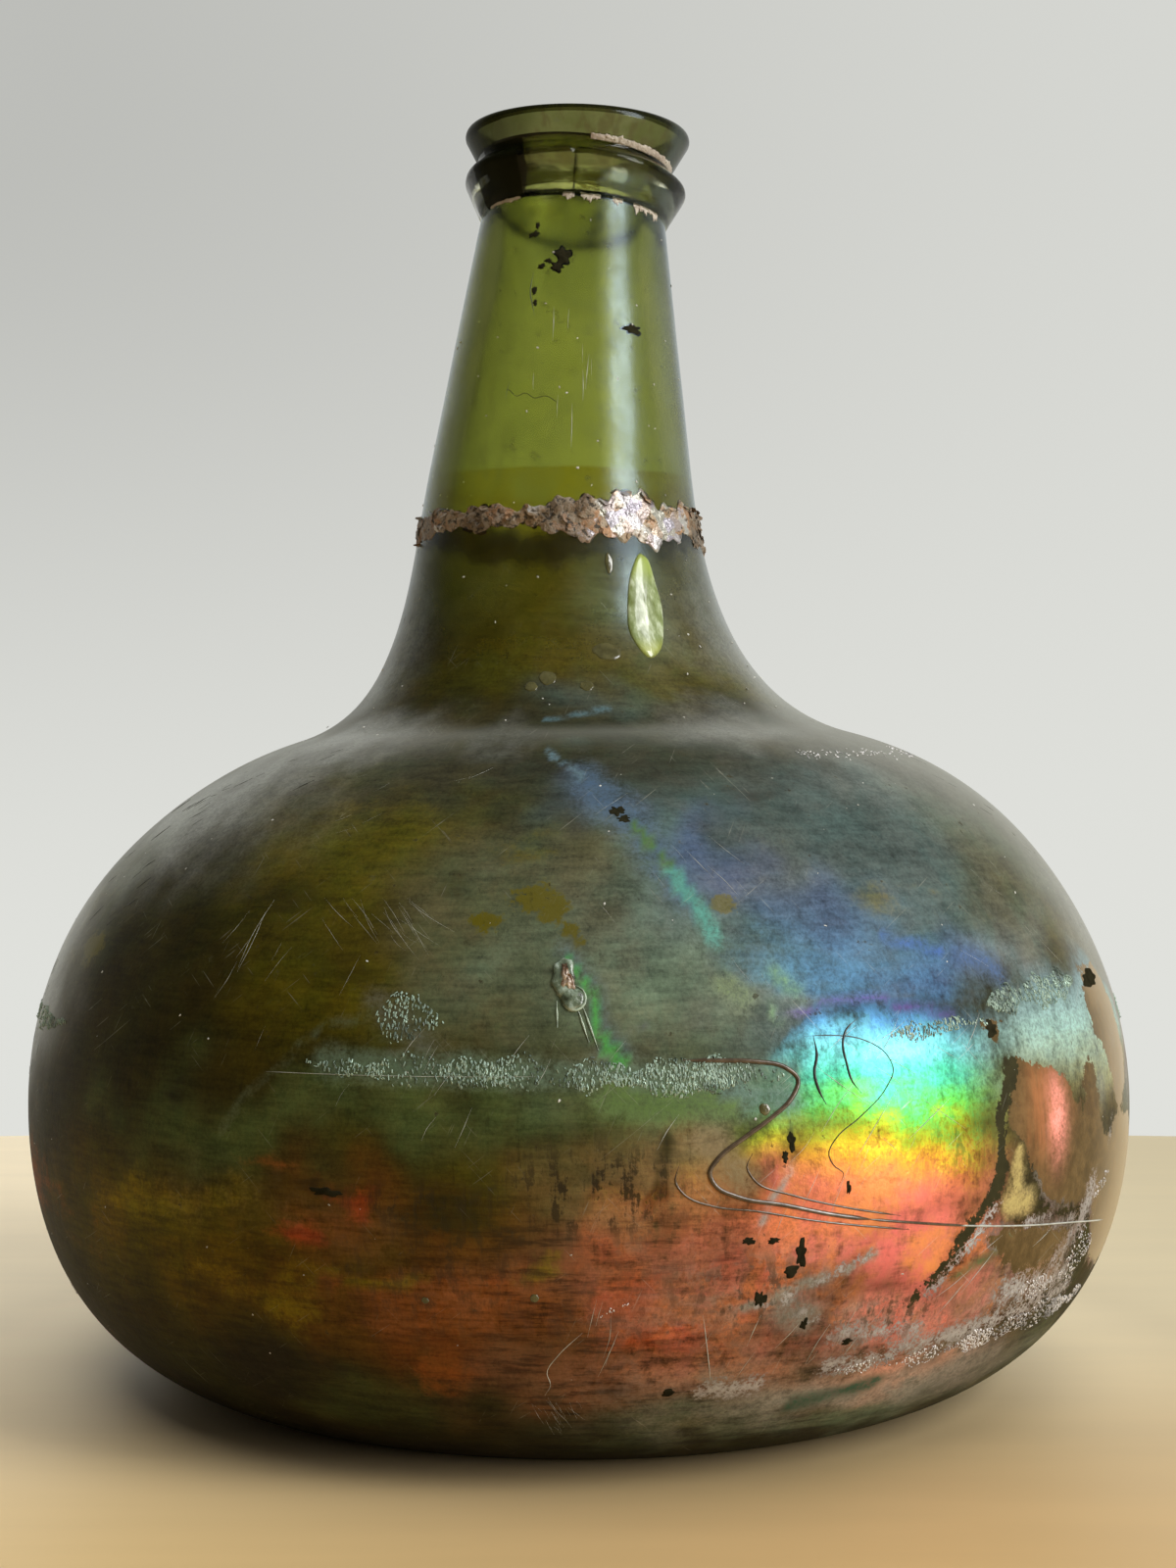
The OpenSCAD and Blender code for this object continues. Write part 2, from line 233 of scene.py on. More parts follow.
class Wall:
    """The turned wall of the bottle: outlines as (radius, height) rows, in millimetres."""

    def __init__(self, form):
        def mm(name):
            return getattr(form, name) / MM

        rise = mm("shoulder_height") - mm("equator_height")
        self.height = mm("height")
        self.lip_start = self.height - mm("lip_height")
        lean = 90 + math.degrees(math.atan2(mm("neck_foot_radius") - mm("neck_top_radius"),
                                            self.lip_start - mm("neck_foot_height")))
        span = mm("body_radius") - mm("shoulder_radius")
        flare = mm("shoulder_radius") - mm("neck_foot_radius")
        stations = [
            (mm("stand_radius"), 0, HEEL_RISE, 0,
             HEEL_FULL * (mm("body_radius") - mm("stand_radius")), mm("base_wall")),
            (mm("body_radius"), mm("equator_height"), 90, LOWER_FULL * mm("equator_height"),
             UPPER_FULL * rise, mm("body_wall")),
            (mm("shoulder_radius"), mm("shoulder_height"), 180 - SHOULDER_SLOPE, SHOULDER_FULL * span,
             FLARE_FULL * flare, mm("shoulder_wall")),
            (mm("neck_foot_radius"), mm("neck_foot_height"), lean,
             NECK_FULL * (mm("neck_foot_height") - mm("shoulder_height")), 0, mm("neck_wall")),
        ]
        outer = self.curves(stations, 0)
        inner = self.curves(stations, 1)
        lip_centre = np.array([mm("lip_radius") - mm("lip_thickness") / 2, self.height - mm("lip_thickness") / 2])
        lip_lean = math.degrees(math.atan2(lip_centre[1] - self.lip_start, lip_centre[0] - mm("neck_top_radius")))
        lip = np.array([lip_centre + mm("lip_thickness") / 2 * heading(lip_lean + a)
                        for a in np.linspace(-90, 90, LIP_POINTS)])
        throat_top = self.height - mm("mouth_flare")
        throat = np.array([[mm("throat_radius"), throat_top],
                           [mm("throat_radius"), throat_top - mm("throat_length")]])
        neck_top = np.array([[mm("neck_top_radius"), self.lip_start]])
        ring_inner = np.array([mm("stand_radius") - mm("stand_width"), 0.0])
        under = self.kick(ring_inner, np.array([0.0, mm("kick_height")]), form)[::-1]
        floor = self.kick(inner[0], np.array([0.0, mm("kick_height") + mm("base_wall")]), form)
        spacing = mm("row_spacing")
        self.outside = np.vstack([even(np.vstack([outer, neck_top]), spacing),
                                  even(np.vstack([neck_top, lip[:1]]), spacing)[1:]])
        self.rows = np.vstack([
            even(under, UNDER_ROWS), even(np.vstack([ring_inner, outer[0]]), RING_ROWS)[1:-1],
            self.outside, lip[1:],
            even(np.vstack([lip[-1:], throat[:1]]), MOUTH_ROWS)[1:], even(throat, THROAT_ROWS)[1:],
            even(np.vstack([throat[1:], inner[::-1]]), INSIDE_ROWS)[1:-1], even(floor, FLOOR_ROWS),
        ])
        self.mouth_row = int(np.argmax(self.rows[:, 1] == lip[-1, 1]))

    @staticmethod
    def curves(stations, inside):
        """The outline through the stations, or through the same set in by the wall."""
        places = [np.array(s[:2], float) + inside * s[5] * heading(s[2] + 90) for s in stations]
        parts = []
        for k in range(len(stations) - 1):
            a, b = places[k], places[k + 1]
            chord = np.linalg.norm(np.array(stations[k + 1][:2], float) - np.array(stations[k][:2], float))
            scale = np.linalg.norm(b - a) / chord
            parts.append(cubic(a, a + scale * stations[k][4] * heading(stations[k][2]),
                               b - scale * stations[k + 1][3] * heading(stations[k + 1][2]), b)[k > 0:])
        return np.vstack(parts)

    @staticmethod
    def kick(foot, crown, form):
        """One face of the push-up, from its foot to its crown."""
        pull = KICK_FULL * form.kick_height / MM
        return cubic(foot, foot + pull * heading(180 - KICK_FLANK), crown + np.array([form.kick_crown / MM, 0]),
                     crown)

    def radius(self, z):
        """Radius of the outer face at a height."""
        return np.interp(z, self.outside[:, 1], self.outside[:, 0])

    def place(self, azimuth, z, lift=0.0):
        """Points on the outer face, or lifted off it, before the hand-blown departures."""
        azimuth, z = np.broadcast_arrays(np.asarray(azimuth, float), np.asarray(z, float))
        r = self.radius(z)
        slope = (self.radius(z + 0.5) - self.radius(z - 0.5))
        tilt = np.sqrt(1 + slope ** 2)
        r = r + lift / tilt
        a = np.radians(azimuth)
        return np.stack([r * np.sin(a), -r * np.cos(a), z - lift * slope / tilt], axis=-1)


def blown(points):
    """Hand-blown departures: the neck leans, the shoulder and lip slope, the body is a little out of round."""
    out = np.array(points, float)
    x, y, z = out[..., 0].copy(), out[..., 1].copy(), out[..., 2].copy()
    a = np.arctan2(x, -y)
    free = smooth(z, *FREE_FROM) * (1 - smooth(z, *FREE_TO))
    oval, lobed = OUT_OF_ROUND[0] * np.sin(2 * a + 0.7), OUT_OF_ROUND[1] * np.sin(3 * a + z / 19)
    swell = 1 + free * (oval + lobed)
    out[..., 0] = x * swell + through(z, NECK_LEAN)
    out[..., 1] = y * swell
    out[..., 2] = z + through(z, SIDE_SLOPE) * x + LIP_RISE * smooth(z, *LIP_FROM)
    return out


# Marks on the glass, as (azimuth in degrees, height in millimetres)
MARK_RADIUS = 74.0
# Outlines of the patches where the film has come off
BARE_PATCHES = [
    [(43.8, 48.4), (47.3, 46.9), (50.1, 46.2), (51.9, 44.9), (53.3, 42.4), (55, 40.4), (55.8, 41.6), (56.2, 45.8),
     (57.7, 46.6), (59, 45.4), (59.3, 41), (60.2, 38), (63, 36.5), (65.5, 39.5), (72, 38), (77, 34), (75, 30),
     (80, 25), (74, 20), (68, 18.5), (62, 21), (59.5, 26), (57, 30), (54.5, 29.5), (49, 30.6), (47, 32.6),
     (46, 34.5), (44.6, 37.5), (42.6, 39.5), (41.6, 42), (42.2, 45.5)],
    [(39, 28.7), (48, 28), (54, 26.5), (54.5, 23), (53, 19.5), (47, 21.3), (42, 25.4)],
    [(61.9, 57), (68, 57.5), (71, 52), (72, 45.4), (70.2, 41), (66, 39), (64.8, 41.7), (63.6, 44), (63, 47.1),
     (61.2, 49.5), (60.6, 53)],
    [(40, 53), (42.5, 52.5), (42, 50.5), (40.5, 51)],
    [(118, 52), (131, 49), (138, 41), (133, 33), (124, 37), (116, 44)],
    [(-141, 40), (-128, 43), (-117, 37), (-121, 29), (-134, 26), (-146, 33)],
]
# Dark streaks and silvery lines: path, half width in millimetres
DARK_STREAKS = [
    ([(43.3, 47.3), (41.8, 44), (40.8, 41), (40.9, 37), (40.2, 33.4)], 1.0),
    ([(40.2, 33.4), (37.5, 30), (35.9, 27), (33.7, 23.7), (31.5, 21.3)], 0.65),
    ([(116, 44), (112, 37), (113, 30), (106, 24)], 1.2), ([(-146, 33), (-149, 26), (-143, 20)], 1.0),
]
SILVER_LINES = [
    ([(15, 22.3), (21, 25), (27, 28.4)], 0.45), ([(24, 14.3), (30, 14.8), (34, 15.8)], 1.3),
    ([(33, 15.6), (42, 16.6), (50, 17.4), (58, 18.4)], 1.5), ([(44, 20.5), (50, 20.2), (55, 20.6)], 2.2),
    ([(52, 22.5), (56, 26.5), (57.5, 30)], 1.9), ([(56.5, 29), (58, 31.6)], 1.3),
    ([(18.6, 22.6), (21.4, 20.4)], 0.6), ([(40.4, 31.6), (37, 26.8), (33.5, 22.4)], 0.8),
    ([(62.5, 36.5), (63.5, 39.5)], 0.5), ([(24, 18.5), (33, 18.0)], 1.5), ([(12, 12.4), (17, 12.6)], 1.5),
    ([(45, 28.8), (50, 28.2), (54, 27.6)], 0.7), ([(130, 18), (150, 16), (170, 18)], 1.4),
    ([(-130, 17), (-112, 15)], 1.2),
]
# Tinged runs of the film: path, half width, colour, strength
TINGES = [
    ([(-4.1, 84), (-1, 82), (1.2, 80.4)], 0.55, (0.13, 0.22, 0.26), 0.7),
    ([(6, 75.9), (8, 73.2), (9.8, 70.6)], 1.0, (0.08, 0.17, 0.045), 0.85),
    ([(10, 70.2), (11.6, 66.6), (12.9, 63.4)], 1.3, (0.10, 0.31, 0.25), 0.95),
    ([(1.5, 79.8), (7, 75.3), (10.5, 68.5)], 3.6, (0.06, 0.115, 0.20), 0.55),
    ([(-0.8, 61.3), (0, 59.6), (0.8, 57.8), (1.3, 55.6), (1.8, 53.7), (2.6, 52.2), (3.6, 50.7),
     (4.4, 49.6)], 0.9, (0.09, 0.38, 0.08), 1.0),
    ([(-0.6, 61.8), (1.2, 57.8), (2.2, 53.7), (4.2, 50.7)], 1.8, (0.07, 0.13, 0.15), 0.5),
    ([(-32.5, 40.5), (-30, 44), (-27, 48), (-23.5, 52.2), (-18.5, 55), (-16, 57)], 0.6, (0.07, 0.10, 0.045), 0.5),
    ([(-22, 48.8), (-9, 48.8), (4, 48.5), (18, 48.2)], 1.9, (0.13, 0.20, 0.13), 0.72),
    ([(-18, 56), (-14.5, 53), (-13, 51.5)], 2.2, (0.11, 0.12, 0.09), 0.5),
    ([(18.5, 54.6), (23.5, 55.7), (28, 55.6), (32, 54.8), (36.5, 53.6)], 0.55, (0.085, 0.060, 0.20), 0.72),
    ([(6, 53.6), (9, 54.2), (12, 54.0)], 0.5, (0.04, 0.04, 0.07), 0.5),
    ([(13.2, 57.8), (14.6, 56.4)], 1.9, (0.14, 0.19, 0.085), 0.7),
    ([(18.5, 58.8), (20.4, 57.2)], 1.2, (0.12, 0.22, 0.13), 0.7),
    ([(17.2, 55.8), (17.6, 54.2)], 0.7, (0.16, 0.30, 0.14), 0.6),
    ([(44.0, 37.9), (43.7, 36.2)], 0.6, (0.52, 0.42, 0.16), 1.0),
    ([(43.4, 35.2), (43.3, 33.8)], 1.4, (0.52, 0.42, 0.16), 1.0),
    ([(42.2, 31.9), (45.2, 31.4)], 1.6, (0.52, 0.42, 0.16), 1.0),
    ([(36, 23.5), (40, 25.4), (43, 27.4)], 1.0, (0.11, 0.14, 0.05), 0.7),
    ([(22, 9.6), (27, 10.4), (31, 11.4)], 1.4, (0.035, 0.10, 0.06), 0.8),
    ([(34, 12.6), (38, 13.2)], 1.2, (0.05, 0.08, 0.06), 0.6),
    ([(31, 62.4), (34, 61.3), (38, 60.6)], 0.8, (0.06, 0.13, 0.34), 0.7),
    ([(40, 60), (45, 58.0)], 2.2, (0.07, 0.13, 0.28), 0.6), ([(22.5, 60), (27, 58)], 2.2, (0.06, 0.15, 0.26), 0.5),
    ([(3, 46.2), (8, 45), (13, 46)], 2.4, (0.12, 0.20, 0.06), 0.8),
    ([(12, 46.5), (18, 45.5)], 2.6, (0.13, 0.21, 0.17), 0.8),
    ([(11, 41), (14, 37.5)], 2.6, (0.27, 0.21, 0.11), 0.75),
    ([(18.2, 22.4), (20.8, 20.6)], 2.0, (0.26, 0.25, 0.20), 0.85),
    ([(13.5, 22), (18, 24), (22, 25.8), (27, 28.4)], 0.55, (0.32, 0.31, 0.25), 1.0),
    ([(18, 38.5), (17, 35), (15.5, 32)], 0.5, (0.36, 0.30, 0.27), 0.8),
    ([(-6, 88.2), (2, 89.1), (9, 89.5)], 0.45, (0.10, 0.20, 0.23), 0.6),
    ([(120, 66), (140, 60), (150, 52)], 1.6, (0.08, 0.30, 0.30), 0.7),
    ([(-130, 60), (-118, 52)], 1.3, (0.09, 0.33, 0.10), 0.7),
]
# Small olive patches: azimuth, height, half width and half rise in millimetres
OLIVE_PATCHES = [
    (-4.1, 67.2, 3.2, 1.6), (-2.2, 66.3, 2.2, 1.9), (-8.6, 64.6, 2.4, 0.9), (-0.6, 63.8, 1.4, 1.1),
    (0.4, 62.3, 1.5, 0.8), (14.6, 66.4, 2.4, 0.8), (-60, 60, 4, 2), (95, 66, 5, 3), (170, 62, 4, 3),
]

# Broad soft ground of the weathered glass, laid in this order: colour, azimuth, height, half width in degrees,
# half rise, strength
GROUND = [
    ("olive", -26, 73, 17, 10, 0.95), ("olive", -21, 56, 15, 7, 0.85), ("slate", -8, 64, 10, 10, 0.85),
    ("ash", -6, 82, 24, 5.5, 0.95), ("ash", 24, 83, 20, 5, 0.85), ("steel", 40, 74, 24, 9, 0.62),
    ("steel", 10, 68, 10, 10, 0.75), ("steel", 14, 58, 16, 5, 0.75), ("steel", 30, 64, 14, 6, 0.8),
    ("dusk", 16, 70.5, 6, 4, 0.6), ("dusk", 24, 65, 7, 3, 0.5), ("dusk", 38, 60, 8, 3.4, 0.6),
    ("dusk", 4, 77, 6, 4, 0.25), ("haze", 3, 72, 9, 6, 0.35), ("haze", 5, 59, 10, 7.5, 0.8),
    ("mist", 52, 61, 9, 4.5, 0.7), ("slate", 56, 70, 14, 9, 0.6), ("slate", -2, 54, 12, 4, 0.45),
    ("moss", 6, 45, 14, 4, 0.8), ("haze", 9, 46, 8, 4, 0.6), ("moss", -12, 44, 12, 3, 0.5),
    ("moss", -28, 43, 12, 4, 0.35), ("olive", 0, 100, 400, 9, 0.9), ("steel", 6, 91, 14, 3.5, 0.4),
    ("olive", 34, 101, 18, 6, 0.5), ("rust", -34, 105, 9, 4, 0.25), ("amber", -38, 28, 20, 10, 0.9),
    ("moss", -34, 41, 12, 5, 0.7), ("gold", -46, 30, 9, 5, 0.35), ("clay", 9, 36.5, 7, 6, 0.9),
    ("olive", -8, 36, 10, 6, 0.6), ("moss", -18, 43.5, 10, 4, 0.6), ("clay", -1, 37, 5, 4, 0.3),
    ("rust", -6, 22, 22, 6.5, 0.85), ("rust", -10, 31, 7, 4, 0.45), ("rose", 6, 27, 10, 6, 0.7),
    ("rose", 8, 13, 16, 4.5, 0.7), ("rust", -20, 34, 9, 4, 0.4), ("moss", -24, 12, 12, 4, 0.35),
    ("slate", 42, 20, 12, 5, 0.7), ("slate", 40, 10, 20, 4, 0.9), ("olive", 76, 40, 14, 14, 0.5),
    ("brown", 78, 62, 10, 20, 0.5), ("brown", -48, 104, 26, 9, 0.85), ("haze", 26, 105, 16, 9, 0.6),
    ("haze", 28, 6.5, 22, 3.5, 0.8), ("mist", 58, 46, 6, 5, 0.9),
]
# Ragged stains over it, in the same form
STAINS = [
    ("brown", -41, 59, 9, 8, 0.8), ("brown", -32, 67, 4, 2, 0.55), ("coal", -35.5, 58.5, 1.8, 2.6, 0.5),
    ("coal", -38, 45.5, 3, 4.5, 0.5), ("brown", -21, 59.5, 4, 1.8, 0.5), ("brown", -13, 68.5, 2.2, 1.6, 0.5),
    ("olive", -25, 77, 7, 3, 0.4), ("olive", -6, 73, 4, 3, 0.35), ("gold", -41, 31.5, 7, 2.4, 0.6),
    ("gold", -33, 33.5, 5, 2.0, 0.55), ("gold", -36, 24, 7, 2.0, 0.4), ("ember", -18.6, 34, 1.7, 2.3, 0.75),
    ("ember", -24.3, 30.3, 2.0, 1.2, 0.8), ("rust", -26, 37.6, 3.6, 1.0, 0.6), ("coal", -23.5, 35.6, 3.6, 0.9, 0.7),
    ("gold", -20, 26, 7.5, 0.9, 0.65), ("rust", -14, 23, 9, 3.6, 0.7), ("gold", -26, 22, 3.4, 4.0, 0.45),
    ("coal", -30, 13, 9, 5, 0.75), ("rust", -12.5, 14, 3.2, 3.0, 0.65), ("gold", -3.6, 27.2, 2.3, 2.3, 0.7),
    ("brown", -11, 33, 5, 3.5, 0.7), ("coal", -7, 31.5, 2.0, 1.2, 0.5), ("moss", 6, 45.5, 7, 2.4, 0.6),
    ("brown", 7.2, 37, 1.0, 6.0, 0.85), ("brown", 0.4, 37.5, 0.9, 3.5, 0.5), ("slate", 6.6, 28, 2.0, 1.6, 0.8),
    ("slate", 12, 24, 2.0, 3.0, 0.5), ("ember", 4, 24, 2.3, 2.4, 0.8), ("ember", 7, 19.3, 4.2, 2.4, 0.75),
    ("coal", 3.6, 13, 2.6, 1.8, 0.6), ("slate", 14, 13.5, 4, 2.6, 0.7), ("slate", 10, 9, 4, 1.6, 0.7),
    ("rust", 37, 17.9, 3.6, 1.0, 0.9), ("brown", 34, 21.5, 4, 1.6, 0.6), ("coal", -3, 8, 6, 2.0, 0.3),
    ("coal", 12, 82.4, 10, 1.0, 0.35), ("coal", 26, 78.5, 8, 1.0, 0.3), ("olive", 31, 66.5, 3.4, 2.0, 0.5),
    ("coal", -10, 85.5, 8, 1.6, 0.4), ("olive", 14.6, 66.6, 2.2, 1.0, 0.4),
]
# Grounds and stains on the back, drawn at random: how many, their strength, the ranges of their azimuth, height,
# half width and half rise, and their colours by turns
FAR_STAINS, FAR_STRENGTH = 40, 0.75
FAR_RANGES = ((72, 288), (12, 88), (7, 20), (3, 11))
FAR_COLOURS = ("olive", "brown", "slate", "gold", "moss", "steel", "rust", "ash", "olive", "amber", "dusk")

# Where the film gleams: azimuth, height, half width, half rise, strength
GLEAMS = [
    (30, 47, 12, 7, 1.0), (29, 36, 12, 6, 1.0), (33, 28, 10, 6, 0.95), (19, 30, 10, 6, 0.95),
    (14, 23, 10, 5.5, 0.75), (4, 23, 6, 4, 0.5), (9, 35, 6, 4, 0.4), (7, 29, 6, 4, 0.45), (-8, 24, 12, 4, 0.14),
    (-21, 31, 6, 3, 0.14), (-34, 34, 9, 4, 0.05), (30, 10.5, 20, 4.0, 0.95), (17, 42, 4.5, 5, 0.75),
    (57, 46, 5, 4.5, 0.95), (12, 15, 12, 5, 0.65), (30, 19, 10, 5, 1.0), (8, 44, 12, 4, 0.2),
    (52, 50.5, 12, 6, 1.0), (38, 59, 9, 3.5, 0.36), (24, 62, 12, 8, 0.20), (44, 70, 14, 9, 0.08),
    (63, 50, 7, 8, 0.9), (40, 21, 9, 5, 0.85), (150, 40, 26, 13, 0.8), (104, 30, 15, 9, 0.5),
    (-112, 42, 22, 9, 0.5), (-160, 30, 16, 7, 0.45), (178, 60, 20, 8, 0.3),
]
# Where the glass keeps a satin sheen: azimuth, height, half width, half rise, strength
SATIN = [
    (-58, 78, 24, 9, 1.0), (-77, 57, 13, 15, 1.0), (-46, 86, 20, 4, 0.9), (-13, 86.6, 7, 2.2, 0.9),
    (30, 86.6, 16, 3, 0.8), (80, 54, 16, 26, 0.9), (50, 80, 24, 5, 0.5), (52, 166, 26, 5, 0.9),
    (38, 10, 20, 3.6, 1.0), (14, 8.5, 10, 2.6, 0.6), (20, 66, 20, 10, 0.2), (66, 100, 22, 12, 1.0),
    (-66, 98, 20, 10, 0.7), (150, 70, 50, 20, 0.7), (-130, 60, 40, 30, 0.7),
]
# Left edge of the bright film: (height, azimuth)
GLEAM_EDGE = [(30, 8), (40, 13), (43.5, 17), (46.5, 18), (49.5, 16.6), (52, 18.6), (55, 21.5), (60, 12)]
# Where the film is pitted: azimuth, height, half width, half rise, strength
PITTED = [
    (36, 38.5, 6, 4.5, 0.6), (2, 36, 9, 6, 1.0), (15, 24, 7, 5, 0.8), (-14, 34, 8, 3, 0.7), (30, 20, 8, 4, 0.8),
    (6, 22, 12, 7, 0.55), (-12, 26, 12, 7, 0.6), (52, 25, 4, 5, 0.9), (30, 53, 5, 2, 0.6), (28, 42, 8, 5, 0.35),
    (120, 26, 12, 6, 0.8), (-140, 46, 14, 6, 0.8),
]
# The painted highlight on the bare patch and its rosy painted halo, and where the red film is painted brighter as a
# highlight: azimuth, height, half width, half rise
PAINTED_GLARES = [(48.6, 42.0, 4.0, 5.6), (49.9, 40.8, 1.5, 4.4)]
RED_FILM_HIGHLIGHTS = [(29, 31, 9, 6), (18, 36.8, 5, 3.6), (31, 26, 7, 4.5)]


def unrolled(points):
    """Places as (azimuth, height), laid flat in millimetres."""
    p = np.array(points, float)
    return np.stack([np.radians(p[..., 0]) * MARK_RADIUS, p[..., 1]], axis=-1)


def line_distance(at, line):
    """Distance of each point from a line of straight pieces."""
    best = np.full(len(at), 1e9)
    for a, b in zip(line[:-1], line[1:]):
        t = np.clip(((at - a) @ (b - a)) / max(1e-9, (b - a) @ (b - a)), 0, 1)
        best = np.minimum(best, np.linalg.norm(at - (a + t[:, None] * (b - a)), axis=1))
    return best


def soft_line(at, path, half):
    """A soft line along a path: 1 on it, fading over its half width."""
    return np.exp(-(line_distance(at, unrolled(path)) / half) ** 2)


def patch_distance(at, outline):
    """Distance to an outline, negative inside it."""
    ring = np.vstack([outline, outline[:1]])
    inside = np.zeros(len(at), bool)
    for a, b in zip(ring[:-1], ring[1:]):
        crosses = (a[1] > at[:, 1]) != (b[1] > at[:, 1])
        x = a[0] + (at[:, 1] - a[1]) * (b[0] - a[0]) / (b[1] - a[1] if b[1] != a[1] else 1e-9)
        inside ^= crosses & (at[:, 0] < x)
    return line_distance(at, ring) * np.where(inside, -1, 1)


def blob(azimuth, z, place, power=2):
    """A soft spot: place is its azimuth, height, half width and half rise."""
    turn = (azimuth - place[0] + 180) % 360 - 180
    return np.exp(-((turn / place[2]) ** 2 + ((z - place[1]) / place[3]) ** 2) ** (power / 2))


def spots(azimuth, z, places):
    """The strongest of some soft spots at each point: each is its place and its strength."""
    return np.max([strength * blob(azimuth, z, place, 3) for *place, strength in places], axis=0)


def strongest(count, layers):
    """At each point, the colour and the share of the strongest of some layers of (colour, shares)."""
    rows = np.zeros((count, 4))
    for tint, share in layers:
        rows[share > rows[:, 3], :3] = tint
        rows[:, 3] = np.maximum(rows[:, 3], share)
    return rows


def murmur(points, size, seed, octaves=3, waves_each=10):
    """Soft noise about from -1 to 1; size is the length of its largest features."""
    draw = np.random.default_rng(seed)
    total = np.zeros(len(points))
    for octave in range(octaves):
        ways = draw.normal(size=(waves_each, 3))
        ways *= (draw.uniform(0.7, 1.4, waves_each) / np.linalg.norm(ways, axis=1))[:, None]
        phase = draw.uniform(0, 2 * np.pi, waves_each)
        total += 0.5 ** octave * np.sin(points @ ways.T * (2 * np.pi / size * 2 ** octave) + phase).sum(axis=1)
    return total / math.sqrt(waves_each)


def layered(look, azimuth, z, points):
    """The soft ground of the weathered glass at each point, and the colour and strength of the stain over it."""
    draw = np.random.default_rng(7)
    far = [(FAR_COLOURS[k % len(FAR_COLOURS)], *[draw.uniform(*ends) for ends in FAR_RANGES], FAR_STRENGTH)
           for k in range(FAR_STAINS)]
    warped_a = azimuth + 3.0 * murmur(points, 24, 1)
    warped_z = z + 2.0 * murmur(points, 20, 2)
    ground = np.repeat(np.array([look.brown[:]]), len(z), axis=0)
    for name, *place, strength in GROUND + far[::2]:
        share = (strength * blob(warped_a, warped_z, place, 3))[:, None]
        ground = ground + share * (np.array(getattr(look, name)[:]) - ground)
    heel = ((1 - smooth(warped_z, 1, 11)) * (1 - 0.85 * blob(warped_a, 0, (26, 0, 36, 1))))[:, None]
    ground = ground + 0.8 * heel * (np.array(look.coal[:]) - ground)
    near_a, near_z = azimuth + 0.9 * murmur(points, 12, 8), z + 0.6 * murmur(points, 10, 9)
    stain = strongest(len(z), ((getattr(look, name)[:], strength * blob(near_a, near_z, place, 3))
                               for name, *place, strength in STAINS + far[1::2]))
    return np.column_stack([ground, np.ones(len(z))]), stain


def surface_marks(azimuth, z, points):
    """What the weathering does at each point of the outer face, and where highlights are painted on it."""
    at = unrolled(np.stack([azimuth, z], axis=-1))
    film = np.min([patch_distance(at, unrolled(patch)) for patch in BARE_PATCHES], axis=0)
    streak = np.min([line_distance(at, unrolled(line)) - half for line, half in DARK_STREAKS], axis=0)
    silver = np.max([soft_line(at, line, half) for line, half in SILVER_LINES], axis=0)
    olive = np.max([np.exp(-(((at - unrolled(spot[:2])) / np.array(spot[2:])) ** 2).sum(axis=1))
                    for spot in OLIVE_PATCHES], axis=0)
    near_a, near_z = azimuth + 1.6 * murmur(points, 14, 3), z + 1.2 * murmur(points, 12, 4)
    gleam = spots(near_a, near_z, GLEAMS)
    dull_side = smooth(azimuth, -25, -5) * (1 - smooth(azimuth - through(z, GLEAM_EDGE), -0.7, 0.9))
    gleam = gleam * (1 - 0.62 * dull_side * smooth(z, 34, 42) * (1 - smooth(z, 58, 66)))
    pale = smooth(azimuth, 35, 45) * (1 - smooth(azimuth, 84, 100))
    shift = (-3.2 * (1 - smooth(azimuth, -16, 8)) * smooth(azimuth, -90, -60)
             - 4.2 * blob(azimuth, 0, (34, 0, 8, 1)) * (1 - smooth(z, 36, 48)))
    return {"film": np.clip(film, -8, 8), "streak": np.clip(streak, -8, 8), "silver": silver, "olive": olive,
            "gleam": gleam, "pits": spots(azimuth, z, PITTED), "pale": pale, "shift": shift,
            "satin": spots(near_a, near_z, SATIN),
            "blush": blob(near_a, near_z, PAINTED_GLARES[0]), "glare": blob(azimuth, z, PAINTED_GLARES[1]),
            "hot": np.max([blob(near_a, near_z, place) for place in RED_FILM_HIGHLIGHTS], axis=0)}


def tinged(azimuth, z, points):
    """Colour of the tinged runs of the film, and how strong they are."""
    at = unrolled(np.stack([azimuth + 0.25 * murmur(points, 9, 5), z + 0.25 * murmur(points, 8, 6)], axis=-1))
    return strongest(len(at), ((tint, strength * soft_line(at, line, half))
                               for line, half, tint, strength in TINGES))


# Shader maths


